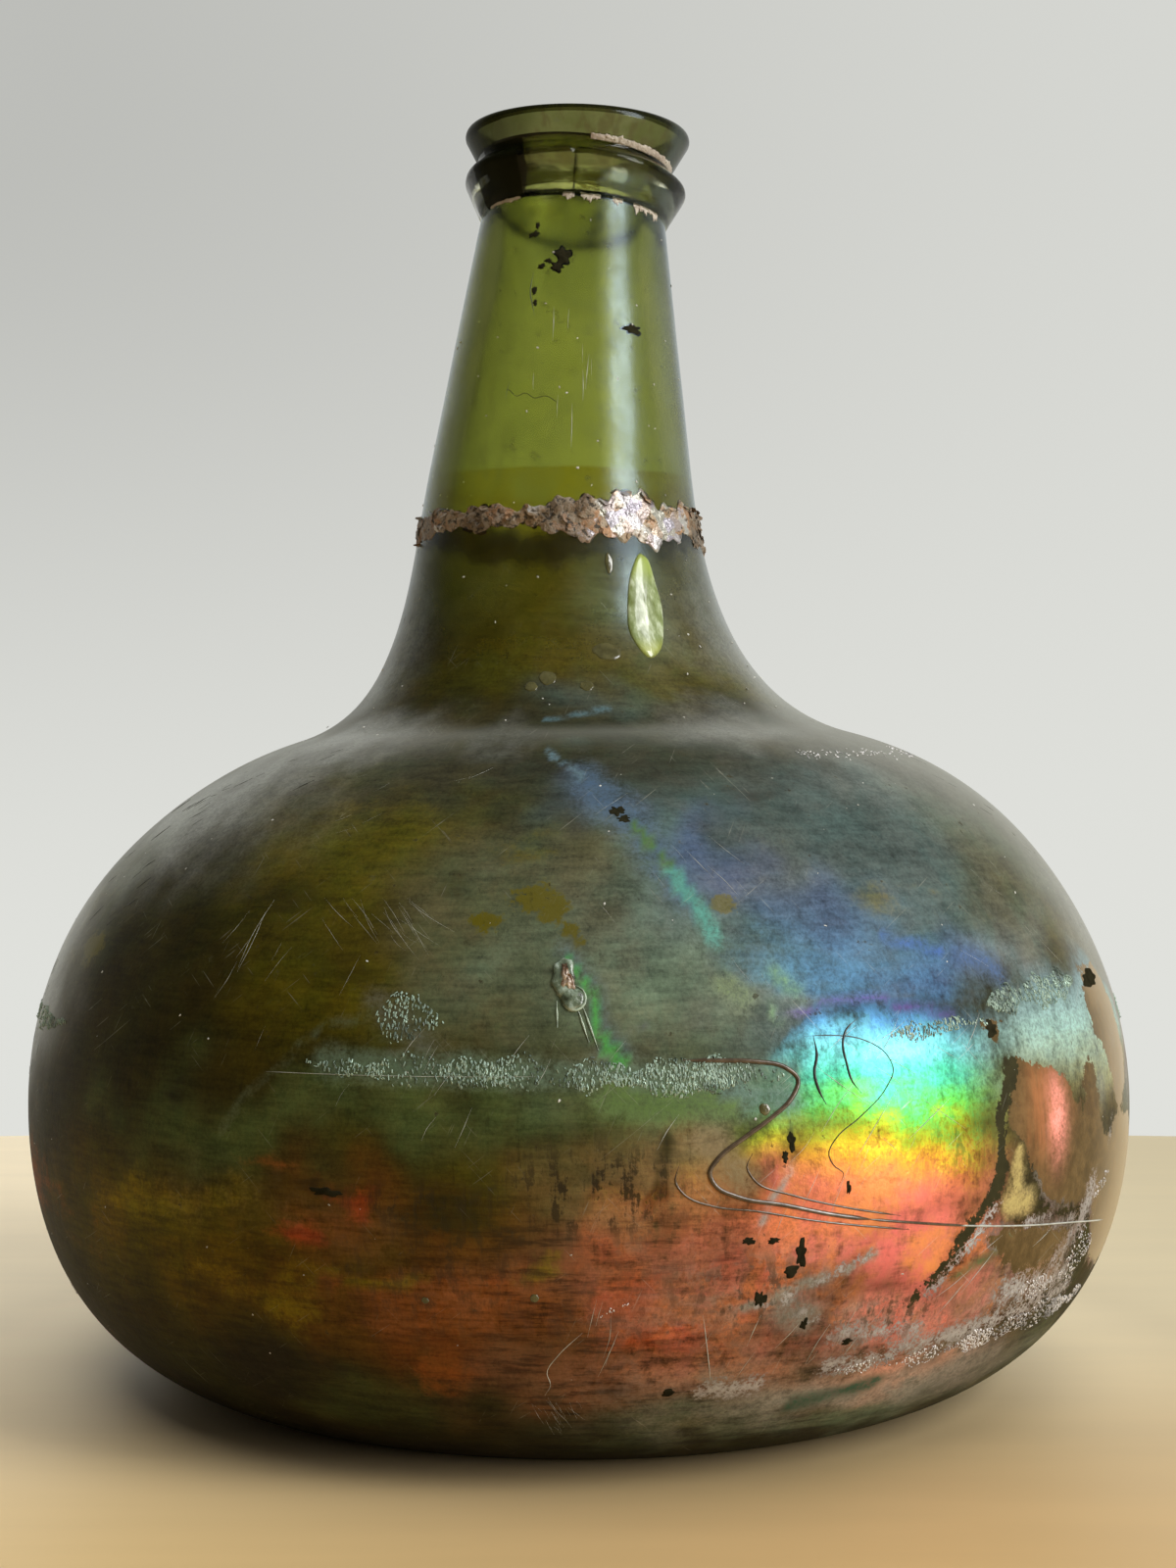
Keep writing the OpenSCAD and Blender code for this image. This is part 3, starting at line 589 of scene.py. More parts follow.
class Wire:
    """One output socket of a node tree; arithmetic on wires adds Math nodes."""

    def __init__(self, tree, socket=None):
        self.tree = tree
        self.socket = socket

    def add(self, kind, settings=None, sockets=None, out=0):
        """Adds a node: its settings first, then the values or links of its sockets."""
        node = self.tree.nodes.new(kind)
        for key, value in (settings or {}).items():
            if key == "stops":
                self.set_stops(node.color_ramp, value)
            else:
                setattr(node, key, value)
        for key, value in (sockets or {}).items():
            for item in value if isinstance(value, list) else [value]:
                if isinstance(item, Wire):
                    self.tree.links.new(item.socket, node.inputs[key])
                else:
                    node.inputs[key].default_value = item
        return Wire(self.tree, node.outputs[out] if node.outputs else None)

    @staticmethod
    def set_stops(ramp, stops):
        """Gives a ramp these stops of (position, colour)."""
        while len(ramp.elements) > 1:
            ramp.elements.remove(ramp.elements[-1])
        for k, (position, value) in enumerate(stops):
            element = ramp.elements[0] if k == 0 else ramp.elements.new(position)
            element.position = position
            element.color = (*value, 1.0)

    def other(self, out):
        """Another output of the same node."""
        return Wire(self.tree, self.socket.node.outputs[out])

    def maths(self, operation, *values):
        """A Math node on values or wires."""
        return self.add("ShaderNodeMath", {"operation": operation}, dict(enumerate(values)))

    def __add__(self, value):
        return self.maths("ADD", self, value)

    def __sub__(self, value):
        return self.maths("SUBTRACT", self, value)

    def __mul__(self, value):
        return self.maths("MULTIPLY", self, value)

    def __rsub__(self, value):
        return self.maths("SUBTRACT", value, self)

    __radd__ = __add__
    __rmul__ = __mul__

    def most(self, value):
        """The greater of this and another value."""
        return self.maths("MAXIMUM", self, value)

    def least(self, value):
        """The smaller of this and another value."""
        return self.maths("MINIMUM", self, value)

    def over(self, low, high, start=0.0, end=1.0):
        """A smooth step from start to end as the value goes from low to high."""
        return self.add("ShaderNodeMapRange", {"interpolation_type": "SMOOTHSTEP"},
                        {0: self, 1: low, 2: high, 3: start, 4: end})

    def ramp(self, stops):
        """A colour from stops of (value, colour)."""
        return self.add("ShaderNodeValToRGB", {"stops": stops}, {0: self})

    def between(self, a, b):
        """A colour from a to b as the value goes from 0 to 1."""
        return self.add("ShaderNodeMix", {"data_type": "RGBA"},
                        {0: self, 6: rgba(a), 7: rgba(b)}, out=2)

    def times(self, a, b):
        """Two colours multiplied."""
        return self.add("ShaderNodeMix", {"data_type": "RGBA", "blend_type": "MULTIPLY"},
                        {0: 1.0, 6: rgba(a), 7: rgba(b)}, out=2)

    def noise(self, at, scale, detail=3.0, roughness=0.55, distortion=0.0):
        """Soft noise, mostly from 0.3 to 0.7."""
        return self.add("ShaderNodeTexNoise", None, {"Vector": at, "Scale": scale, "Detail": detail,
                                                     "Roughness": roughness, "Distortion": distortion})

    def cells(self, at, scale):
        """A random number in each cell of a pattern; the node's other outputs are two more."""
        shades = self.add("ShaderNodeTexVoronoi", None, {"Vector": at, "Scale": scale}, out=1)
        return self.add("ShaderNodeSeparateColor", None, {0: shades})

    def mapped(self, at, scale=(1, 1, 1), turn=(0, 0, 0)):
        """Coordinates turned and stretched."""
        return self.add("ShaderNodeMapping", None, {"Vector": at, "Scale": scale, "Rotation": turn})

    def mark(self, name, out=2):
        """A number stored on the mesh, or a colour where out is 0."""
        return self.add("ShaderNodeAttribute", {"attribute_name": name}, out=out)

    def facing(self, blend):
        """0 where the surface faces the eye, rising to 1 at its edges."""
        return self.add("ShaderNodeLayerWeight", None, {"Blend": blend}, out=1)

    def bump(self, height, strength, distance):
        """A normal from a height."""
        return self.add("ShaderNodeBump", None, {"Height": height, "Strength": strength, "Distance": distance})

    def surface(self, **sockets):
        """A Principled shader; base_color sets its Base Color socket, and so on."""
        named = {key.replace("_", " ").title().replace("Ior", "IOR"): value for key, value in sockets.items()}
        return self.add("ShaderNodeBsdfPrincipled", None, named)

    def mixed(self, a, b):
        """Shader a where the value is 0, b where it is 1."""
        return self.add("ShaderNodeMixShader", None, {0: self, 1: a, 2: b})


def rgba(value):
    """A wire as it is, or a colour with its alpha."""
    return value if isinstance(value, Wire) else (*value[:3], 1.0)


def finish_of(name):
    """An empty material with its wire, Object coordinates and a call that closes it."""
    material = bpy.data.materials.new(name)
    material.use_nodes = True
    tree = material.node_tree
    tree.nodes.clear()
    wire = Wire(tree)
    at = wire.add("ShaderNodeTexCoord", out=3)

    def close(shader):
        wire.add("ShaderNodeOutputMaterial", None, {"Surface": shader})
        return material

    return wire, at, close


def ruffled(value, *noises):
    """A value shaken by noises about their middle: each is a noise and how far it reaches."""
    for noise, reach in noises:
        value = (noise - 0.5) * reach + value
    return value


def coated(base, *coats):
    """A colour under coats: each is how much of it covers, and its colour."""
    for share, tint in coats:
        base = share.between(base, tint)
    return base


# Colours of the film by height in millimetres, as thin-film colours follow its thickness, and the ramp's top
FILM_TOP = 90.0
FILM_BANDS = [
    (0, (0.030, 0.032, 0.026)), (6, (0.190, 0.192, 0.160)), (10, (0.290, 0.295, 0.255)), (13, (0.37, 0.33, 0.28)),
    (19, (0.82, 0.42, 0.29)), (25, (0.88, 0.27, 0.10)), (29, (0.94, 0.23, 0.11)), (33, (0.96, 0.26, 0.10)),
    (36.5, (0.94, 0.30, 0.09)), (38.8, (0.92, 0.46, 0.03)), (40.6, (0.84, 0.70, 0.02)), (42.3, (0.50, 0.74, 0.03)),
    (44.3, (0.14, 0.68, 0.09)), (47, (0.08, 0.62, 0.38)), (50.5, (0.20, 0.66, 0.72)), (54, (0.09, 0.32, 0.60)),
    (59, (0.07, 0.22, 0.38)), (66, (0.09, 0.16, 0.24)), (74, (0.16, 0.18, 0.18)), (86, (0.20, 0.20, 0.18)),
]
# The pale film at the right, by shares of that top, and the ruddy film, by its noise
PALE_BANDS = [
    (0.0, (0.06, 0.07, 0.06)), (0.17, (0.30, 0.26, 0.22)), (0.38, (0.52, 0.34, 0.20)), (0.49, (0.58, 0.48, 0.26)),
    (0.56, (0.60, 0.86, 0.74)), (0.66, (0.36, 0.54, 0.60)), (0.80, (0.22, 0.26, 0.28)),
]
RUDDY = [
    (0.34, (0.92, 0.18, 0.15)), (0.44, (0.74, 0.29, 0.25)), (0.50, (0.42, 0.22, 0.16)), (0.56, (0.95, 0.34, 0.13)),
    (0.66, (0.76, 0.20, 0.15)),
]
# Fine scratches in the film: slant in degrees, and how much noise it takes to make one
SCRATCH_WAYS = ((38, 0.72), (-47, 0.725), (66, 0.735))
# Heights in millimetres over which the neck's glass changes
NECK_FOOT, FILL_LINE, LIP_EDGE = (106, 114), (121.6, 122.1), (162.2, 163.8)
GLASS_IOR = 1.25


def height_of(wire, at):
    """Height above the table in millimetres."""
    return wire.add("ShaderNodeSeparateXYZ", None, {0: at}, out=2) * (1 / MM)


def clear_body(wire, at, look, z, blotch, fleck):
    """The clear olive glass of the neck and lip, dark towards its edges, under a thin satin film, with painted
    shade on its left and on its lip, and painted light on its right.
    """
    facing = wire.facing(0.45)
    cloud = wire.noise(at, 60, 2, 0.5)
    pulled = wire.noise(wire.mapped(at, (1, 1, 0.08)), 520, 3, 0.6)
    side = wire.add("ShaderNodeSeparateXYZ", None, {0: at})
    # The left side, away from the window, takes painted shade; the right side, towards it, takes painted light.
    left, right = side.over(-0.0125, -0.003, 1.0, 0.0), side.over(0.002, 0.012)
    lip, foot = z.over(*LIP_EDGE), 1 - z.over(*NECK_FOOT)
    tint = coated(
        ruffled(z, (cloud, 1.5)).over(*FILL_LINE).between((0.31, 0.25, 0.006), look.clear_glass),
        (foot, (0.25, 0.205, 0.012)), (blotch.over(0.56, 0.66) * foot * 0.8, (0.62, 0.46, 0.02)),
        (blotch.over(0.42, 0.70) * 0.5, (0.28, 0.31, 0.04)),
        (cloud.over(0.46, 0.62) * (1 - z.over(107, 114)) * 0.6, (0.10, 0.085, 0.02)),
        # Painted shade down the left side, heavier at the foot.
        (left * (0.22 + pulled.over(0.50, 0.66) * 0.4 + foot * 0.4), (0.19, 0.20, 0.04)),
        (z.over(146, 154) * (1 - z.over(157, 160)) * cloud.over(0.35, 0.6) * 0.7, (0.20, 0.24, 0.07)),
        (z.over(155, 158) * (1 - lip) * blotch.over(0.40, 0.56), (0.24, 0.26, 0.05)),
        (lip, blotch.over(0.35, 0.65).between((0.085, 0.092, 0.014), (0.16, 0.155, 0.035))),
        # Streaks on the lip, and painted shade on its left.
        (lip * pulled.over(0.46, 0.62) * 0.8, (0.070, 0.048, 0.010)), (lip * left * 0.85, (0.026, 0.027, 0.005)),
        # Darker towards the edges, less so on the lit right side, which is painted light.
        (facing.over(0.09, 0.54) * (0.92 - right * 0.35), (0.042, 0.045, 0.008)),
        (fleck.over(0.60, 0.67) * 0.5, (0.10, 0.10, 0.03)))
    glass = wire.surface(base_color=tint, roughness=0.19 + fleck * 0.12 - z.over(159, 161) * 0.15,
                         transmission_weight=1.0, ior=GLASS_IOR, specular_ior_level=0.3,
                         normal=wire.bump(cloud * 0.7 + blotch * 0.3, 0.12, 0.0012))
    satin = wire.surface(base_color=blotch.over(0.3, 0.7).between((0.34, 0.54, 0.70), (0.46, 0.62, 0.70)),
                         metallic=0.85, roughness=0.17 + fleck * 0.12,
                         normal=wire.bump(blotch + fleck * 0.4, 0.10, 0.0006))
    bloom = wire.mark("satin") * z.over(158, 162) * blotch.over(0.38, 0.62)
    # The satin film is heavier on the lit right side, as a painted sheen.
    veil = 0.014 + blotch.over(0.36, 0.62) * 0.04 + facing.over(0.60, 0.98) * 0.34 + right * (0.05 + foot * 0.06)
    veil = veil * (1 - lip * 0.8) + bloom * 0.16
    # A dark matte layer over the lip, heavier on its left, where it is painted shade.
    darkened_lip = wire.surface(base_color=blotch.between((0.008, 0.009, 0.002), (0.030, 0.030, 0.008)), roughness=0.8,
                          specular_ior_level=0.0)
    return (lip * (0.34 + left * 0.32)).mixed(veil.mixed(glass, satin), darkened_lip)


def weathered_glass(look):
    """Outer face: an iridescent, flaking film over stained glass, clearing towards the neck, with some highlights
    and edge reflections painted into its colours.
    """
    wire, at, close = finish_of("weathered_glass")
    z = height_of(wire, at)
    cloud = wire.noise(at, 42, 4, 0.55)
    blotch = wire.noise(at, 150, 5, 0.62)
    fleck = wire.noise(at, 620, 4, 0.65)
    grit = wire.noise(at, 2300, 3, 0.7)
    hue = wire.noise(wire.mapped(at, turn=(0.7, 0.4, 1.1)), 95, 5, 0.7)
    brushed = wire.noise(wire.mapped(at, (1, 1, 0.13)), 900, 4, 0.68)
    drawn = wire.noise(wire.mapped(at, (0.16, 0.16, 1)), 460, 3, 0.6)
    fine = wire.noise(wire.mapped(at, (0.13, 0.13, 1)), 1500, 3, 0.65)
    film, streak, gleam, silver, satin, pits, shift = (
        wire.mark(name) for name in ("film", "streak", "gleam", "silver", "satin", "pits", "shift"))
    ground, stain, tinge = (wire.mark(name, 0) for name in ("ground", "stain", "tinge"))
    low = 1 - z.over(28, 38)
    facing = wire.facing(0.5)
    scratch = 0.0
    for turn, least in SCRATCH_WAYS:
        lie = wire.mapped(wire.mapped(at, turn=(0, math.radians(turn), 0)), (0.022, 0.022, 1))
        scratch = wire.noise(lie, 5200, 1, 0.5).over(least, least + 0.03) + scratch
    scratch = (scratch * blotch.over(0.48, 0.62)).least(1.0) * 0.35

    # The stained ground
    laid = ruffled(stain.other(3), (blotch, 0.9), (fleck, 0.7), (drawn, 0.8), (grit, 0.4))
    tone = (laid.over(0.12, 0.80) * 0.92).between(ground, stain)
    tone = wire.times(tone, hue.over(0.38, 0.62).between((0.94, 1.04, 0.98), (1.07, 0.96, 0.88)))
    tone = wire.times(tone, 0.36 + blotch.over(0.33, 0.66) * 0.40 + fleck.over(0.28, 0.72) * 0.16
                      + fine.over(0.28, 0.72) * 0.44 + grit.over(0.28, 0.72) * 0.36)
    olive = ruffled(wire.mark("olive"), (fleck, 1.0), (blotch, 1.0), (grit, 0.9))
    tone = coated(tone, (olive.over(0.34, 0.60), (0.098, 0.084, 0.003)),
                  (fleck.over(0.63, 0.70) * blotch.over(0.45, 0.6) * 0.4, look.slate))
    tone = wire.times(tone, 1 - (1 - brushed.over(0.30, 0.40) * 0.7) * (0.55 - brushed * 0.6))
    run = (tinge.other(3) * ruffled(0.68, (fleck, 0.8), (blotch, 0.5), (grit, 1.0))).over(0.04, 0.64)
    tone = coated(
        tone, (low * (1 - fine.over(0.36, 0.52)) * shift.over(-3.3, -1.0, 0.15, 0.55), (0.012, 0.009, 0.005)),
        (run * 0.80, wire.times(tinge, 0.45 + fleck * 0.6 + grit * 0.5)),
        # At the edges above the waist the ground is painted grey: a painted reflection of the pale backdrop at
        # grazing angles.
        (facing.over(0.58, 0.95) * z.over(38, 54) * 0.8, (0.27, 0.27, 0.23)))

    # The film's colours
    bands = ruffled(z - shift, (cloud, 6.0 - shift * 2.5), (blotch, 5.0 - shift * 2.0), (drawn, 4.0))
    bands = (bands + pits * ruffled((fleck - 0.5) * 9.0, (grit, 14.0))) * (1 / FILM_TOP)
    rainbow = (wire.mark("pale") * 0.85).between(bands.ramp([(h / FILM_TOP, c) for h, c in FILM_BANDS]),
                                                 bands.ramp(PALE_BANDS))
    greyed = ruffled(blotch, (fleck, 0.7), (brushed, 0.4))
    rainbow = coated(
        gleam.over(0.02, 0.16).between((0.42, 0.43, 0.38), rainbow),
        (z.over(11, 18) * (1 - z.over(26, 36)) * 0.62, hue.ramp(RUDDY)),
        (low * (0.12 + pits * 0.68) * greyed.over(0.46, 0.55),
         drawn.over(0.42, 0.58).between((0.26, 0.17, 0.12), (0.46, 0.37, 0.31))), (run, tinge))
    rainbow = wire.times(rainbow, 0.52 + fleck.over(0.32, 0.60) * 0.26 + grit.over(0.32, 0.64) * 0.42)
    # The red film painted brighter where the light's highlight spreads over it: partly its own red, partly a
    # painted highlight.
    hot = wire.mark("hot") * ruffled(0.98, (blotch, 1.4), (fleck, 0.9)) * (1 - run)
    rainbow = hot.between(rainbow, hue.over(0.40, 0.60).between((1.0, 0.24, 0.20), (1.0, 0.37, 0.11)))

    # Where it is whole, pitted, silvery or gone
    edge = ruffled(film, (fleck, 4.4), (blotch, 3.4), (grit, 1.6))
    covered = edge.over(-0.12, 0.15)
    dark = 1 - ruffled(streak, (fleck, 3.2), (blotch, 2.2), (grit, 1.4)).over(-0.10, 0.18)
    pit = pits * (brushed * 0.40 + fleck * 0.38 + grit * 0.22).over(0.49, 0.57)
    pit = pit.most(fleck.over(0.67, 0.72) * 0.7)
    kept = covered * (1 - dark) * (1 - pit * 0.9)
    wear = ruffled(0.62, (blotch, 1.5), (brushed, 1.3), (fleck, 1.1), (fine, low * 1.2)) + gleam * 0.5
    sheen = satin * (0.24 + blotch.over(0.3, 0.65) * 0.40)
    frayed = edge.over(-0.1, 0.3) * (1 - edge.over(0.35, 1.1)) * blotch.over(0.42, 0.58)
    frayed = frayed * (1 - z.over(33, 37)) * 0.75
    plated = ruffled(silver * 0.64, (fleck, 1.3), (blotch, 0.9), (grit, 2.4)).over(0.28, 0.54)
    plated = (plated * silver.over(0.08, 0.35) * (1 - pit)).most(frayed)
    share_film = (gleam * wear.over(0.1, 1.1) * 0.9 + 0.006 + sheen) * kept
    share_film = share_film.most(run * 0.3 * kept).most(plated * 0.75)
    frost = (fleck * 0.4 + grit * 0.4 + silver * 0.2).over(0.46, 0.70)
    rainbow = coated(rainbow, (plated, frost.between((0.30, 0.27, 0.26), look.silver)),
                     (scratch, (0.75, 0.75, 0.70)))

    # The bare glass, with its painted highlight and painted edge reflection, and the dark streak
    stripped = (1 - covered) * (1 - dark)
    brown = (blotch * 0.6 + fleck * 0.4).over(0.38, 0.62).between(look.bare, (0.145, 0.094, 0.036))
    brown = coated(
        wire.times(brown, 0.55 + fleck * 0.5 + grit * 0.4),
        # A rosy painted halo and a painted highlight on the bare patch, and a painted tan reflection at its edges.
        (wire.mark("blush") * ruffled(0.70, (brushed, 1.6), (blotch, 1.4)), (0.42, 0.16, 0.06)),
        (wire.mark("glare") * ruffled(0.80, (fleck, 2.0), (grit, 2.4)), (1.0, 0.36, 0.29)),
        (facing.over(0.62, 0.95) * 0.8, (0.46, 0.37, 0.23)))
    base = coated(
        tone, (stripped, brown), (pit * covered, (0.028, 0.020, 0.009)),
        (dark, fleck.between((0.014, 0.012, 0.004), (0.050, 0.046, 0.016))), (scratch, (0.26, 0.26, 0.20)))

    relief = blotch * 0.5 + fleck * 0.35 + grit * 0.15 + kept * 0.25 + plated * 0.2
    normal = wire.bump(relief, 0.24, 0.0006)
    dulled = wire.surface(base_color=base, roughness=0.52 + fleck * 0.16 - satin * 0.26 - stripped * 0.12,
                          specular_ior_level=0.09, normal=normal)
    shining = wire.surface(base_color=rainbow, metallic=0.8 - low * gleam * 0.35,
                           roughness=0.34 + fleck * 0.16 + plated * 0.10 - satin * 0.06 + low * 0.16, normal=normal)
    through_share = ruffled(z, (blotch, 18.0)).over(84, 112, 0.0, 0.62) + z.over(112, 115.5, 0.0, 0.38)
    clear = clear_body(wire, at, look, z, blotch, fleck)
    return close(through_share.mixed(share_film.mixed(dulled, shining), clear))


def inner_glass():
    """Inner face: clear in the neck, stained in the body."""
    wire, at, close = finish_of("inner_glass")
    blotch = wire.noise(at, 120, 4, 0.6)
    fleck = wire.noise(at, 700, 3, 0.6)
    dirty = wire.surface(base_color=blotch.between((0.035, 0.028, 0.010), (0.09, 0.075, 0.02)),
                         roughness=0.45 + fleck * 0.2, normal=wire.bump(blotch + fleck * 0.4, 0.2, 0.0008))
    clear = wire.surface(base_color=fleck.between((0.62, 0.68, 0.32), (0.74, 0.78, 0.44)),
                         roughness=0.10 + blotch * 0.10, transmission_weight=1.0, ior=GLASS_IOR,
                         specular_ior_level=0.1)
    return close(ruffled(height_of(wire, at), (blotch, 16.0)).over(84, 106).mixed(dirty, clear))


def rim_glass():
    """The string rim: thicker clear glass, dark at its edges and along its lap."""
    wire, at, close = finish_of("rim_glass")
    blotch = wire.noise(at, 240, 4, 0.6)
    fleck = wire.noise(at, 700, 3, 0.6)
    veins = wire.noise(wire.mapped(at, (0.5, 0.5, 1.6)), 330, 4, 0.62, 1.2)
    tint = coated(blotch.over(0.38, 0.62).between((0.92, 0.93, 0.66), (0.98, 0.98, 0.86)),
                  (1 - veins.over(0.34, 0.44), (0.30, 0.27, 0.07)),
                  (wire.facing(0.45).over(0.25, 0.80) * 0.9, (0.10, 0.105, 0.02)))
    glass = wire.surface(base_color=tint, roughness=0.05 + fleck * 0.10, transmission_weight=1.0, ior=GLASS_IOR,
                         specular_ior_level=0.5, normal=wire.bump(blotch + veins * 0.5, 0.14, 0.0008))
    dark = wire.surface(base_color=blotch.between((0.003, 0.004, 0.001), (0.014, 0.015, 0.005)),
                        roughness=0.18 + fleck * 0.15, specular_ior_level=0.02)
    return close((ruffled(wire.mark("lap"), (blotch, 0.7)).over(0.38, 0.62) * 0.92).mixed(glass, dark))


def brown_crust(look):
    """The neck's crust: brown and tan plates, with silvery and lilac scales and lighter colour painted where it
    catches the light, as a painted highlight.
    """
    wire, at, close = finish_of("brown_crust")
    blotch = wire.noise(at, 210, 4, 0.6)
    fleck = wire.noise(at, 1300, 3, 0.65)
    sparkle = wire.mark("sparkle")
    pick = wire.cells(at, 620)
    hue = pick.other(1)
    earth = blotch.ramp([(0.32, (0.075, 0.060, 0.032)), (0.43, (0.24, 0.15, 0.075)), (0.50, (0.30, 0.24, 0.16)),
                         (0.57, look.crust_brown[:]), (0.66, (0.42, 0.36, 0.28))])
    earth = coated(earth, (pick.over(0.2, 0.9) * 0.5, hue.between((0.20, 0.15, 0.085), (0.46, 0.39, 0.31))),
                   (1 - fleck.over(0.36, 0.48), (0.050, 0.038, 0.022)))
    # Where it catches the light the crust is painted lighter and turns to silvery scales: a painted highlight.
    earth = wire.times(earth, 0.60 + sparkle * 0.7)
    silver = hue.ramp([(0.0, (0.38, 0.37, 0.30)), (0.45, (0.52, 0.51, 0.47)), (0.75, (0.40, 0.37, 0.42)),
                       (1.0, (0.46, 0.36, 0.26))])
    shine = ruffled(pick + (sparkle - 0.66) * 1.1, (blotch, 0.7), (fleck, 0.8)).over(0.42, 0.66)
    return close(wire.surface(base_color=shine.between(earth, silver), metallic=shine * 0.55,
                              roughness=0.60 - shine * 0.28,
                              normal=wire.bump(fleck + pick * 0.5, 0.45, 0.0006)))


def chalky(name, light, dark, scale):
    """Lime: matte, crumbly, stained in places."""
    wire, at, close = finish_of(name)
    fleck = wire.noise(at, scale * 6, 3, 0.65)
    base = coated(wire.noise(at, scale, 4, 0.6).over(0.35, 0.65).between(dark, light),
                  (fleck.over(0.58, 0.75), (0.70, 0.67, 0.61)))
    return close(wire.surface(base_color=base, roughness=0.70 + fleck * 0.2, normal=wire.bump(fleck, 0.6, 0.0004)))


def frosted(name, tint, bright):
    """Crystals of the frosted lines: pale, glassy, each with its own shade."""
    wire, at, close = finish_of(name)
    cell = wire.cells(at, 1100)
    base = wire.noise(at, 200, 3, 0.6).over(0.48, 0.66).between(cell.between(tint, bright),
                                                                tuple(c * 0.35 for c in tint))
    return close(wire.surface(base_color=base, metallic=cell.over(0.5, 0.9) * 0.5,
                              roughness=0.30 + cell.other(1) * 0.25))


def stone_finish():
    """The stone in the glass: a dark, tan-flecked heart in green glaze."""
    wire, at, close = finish_of("batch_stone")
    blotch = wire.noise(at, 700, 3, 0.6)
    fleck = wire.noise(at, 2400, 3, 0.6)
    glaze = blotch.ramp([(0.30, (0.035, 0.045, 0.025)), (0.50, (0.13, 0.17, 0.11)), (0.66, (0.34, 0.42, 0.34)),
                         (0.78, (0.62, 0.66, 0.58))])
    core = blotch.ramp([(0.32, (0.012, 0.008, 0.005)), (0.50, (0.16, 0.085, 0.040)), (0.66, (0.62, 0.52, 0.42))])
    base = ruffled(wire.mark("heart"), (fleck, 0.4)).over(0.4, 0.6).between(glaze, core)
    return close(wire.surface(base_color=base, roughness=0.14 + fleck * 0.2, coat_weight=blotch.over(0.2, 0.6),
                              normal=wire.bump(blotch + fleck * 0.3, 0.35, 0.0006)))


def cord_glass(name, tint, roughness, gloss=1.0):
    """Threads, blisters and flakes that stand on the surface."""
    wire, at, close = finish_of(name)
    fleck = wire.noise(at, 900, 3, 0.6)
    bright = tuple(min(1.0, c * 1.8) for c in tint)
    return close(wire.surface(base_color=fleck.over(0.3, 0.7).between(tint, bright),
                              roughness=roughness + fleck * 0.12, specular_ior_level=0.5 * gloss,
                              coat_weight=fleck.over(0.3, 0.7, 0.0, gloss)))


def blister_glass():
    """The long blister in the neck: thin, pale glass, painted bright with the light shining through it, lighter at
    its ends and darker at its rim, as painted light and shade.
    """
    wire, at, close = finish_of("blister_glass")
    z = height_of(wire, at)
    strands = wire.noise(wire.mapped(at, (1, 1, 0.10)), 1150, 3, 0.6)
    base = strands.ramp([(0.34, (0.12, 0.15, 0.035)), (0.46, (0.20, 0.25, 0.095)), (0.58, (0.31, 0.37, 0.19)),
                         (0.70, (0.50, 0.56, 0.38))])
    # Lighter ends and a darker rim: painted light and shade of the light passing through the blister.
    base = coated(base, (z.over(106, 109), (0.30, 0.38, 0.09)), (1 - z.over(97, 99.5), (0.34, 0.38, 0.09)),
                  ((1 - wire.mark("heart").over(0.0, 0.14)) * 0.7, (0.14, 0.15, 0.02)))
    return close(wire.surface(base_color=base, roughness=0.16 + strands * 0.2, coat_weight=strands.over(0.2, 0.8)))


def floor_finish(look):
    """Pale table with painted light and shade in its colour: lighter at the back left, where the bottle's shadow
    falls, and in a pool round the bottle, and darker at the front right.
    """
    wire, at, close = finish_of("pale_table")
    grain = wire.noise(wire.mapped(at, (1, 7, 1)), 12, 4, 0.6)
    x = wire.add("ShaderNodeSeparateXYZ", None, {0: at})
    y = x.other(1)
    # Painted shade at the front right and painted light at the back left.
    front = x.over(-0.08, 0.05).between(look.floor, (0.56, 0.375, 0.16))
    back = x.over(-0.14, 0.14).between((0.97, 0.82, 0.56), (0.60, 0.50, 0.30))
    base = y.over(-0.10, 0.04).between(front, back)
    # A painted pool of light round the bottle, lifting its shadow.
    base = wire.times(base, 1 + (x * x + y * y).over(0.0045, 0.0085, 0.34, 0.0) * y.over(-0.055, -0.01))
    base = wire.times(base, grain.over(0.3, 0.7, 0.97, 1.02))
    return close(wire.surface(base_color=base, roughness=0.46 + grain * 0.08))


# Meshes and pieces


def placed(name, data):
    """A new object in the scene."""
    obj = bpy.data.objects.new(name, data)
    bpy.context.scene.collection.objects.link(obj)
    return obj


def new_object(name, points, faces, materials):
    """A mesh object from points in millimetres, with the hand-blown departures."""
    mesh = bpy.data.meshes.new(name)
    mesh.from_pydata((blown(points) * MM).tolist(), [], [tuple(int(i) for i in f) for f in faces])
    for material in materials:
        mesh.materials.append(material)
    return placed(name, mesh)


def face_out(obj):
    """Turns the faces outwards and shades them smooth."""
    work = bmesh.new()
    work.from_mesh(obj.data)
    bmesh.ops.recalc_face_normals(work, faces=work.faces[:])
    work.to_mesh(obj.data)
    work.free()
    obj.data.polygons.foreach_set("use_smooth", [True] * len(obj.data.polygons))
    obj.data.update()


def give(obj, name, values):
    """A number at each point of a mesh, for its material or its grains."""
    layer = obj.data.attributes.new(name, "FLOAT", "POINT")
    layer.data.foreach_set("value", np.asarray(values, np.float32))


def settle(obj, slot, *nodes):
    """The piece rides on the bottle and stands for its CAD nodes; slot is not used."""
    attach(obj, ROOT)
    if nodes:
        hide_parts(*nodes)
    return obj


def columns(form):
    """Azimuths of the mesh columns, closest together over the front."""
    quarter = form.back_columns // 2
    return np.concatenate([np.linspace(-180, -90, quarter, endpoint=False),
                           np.linspace(-90, 90, form.front_columns, endpoint=False),
                           np.linspace(90, 180, quarter, endpoint=False)])


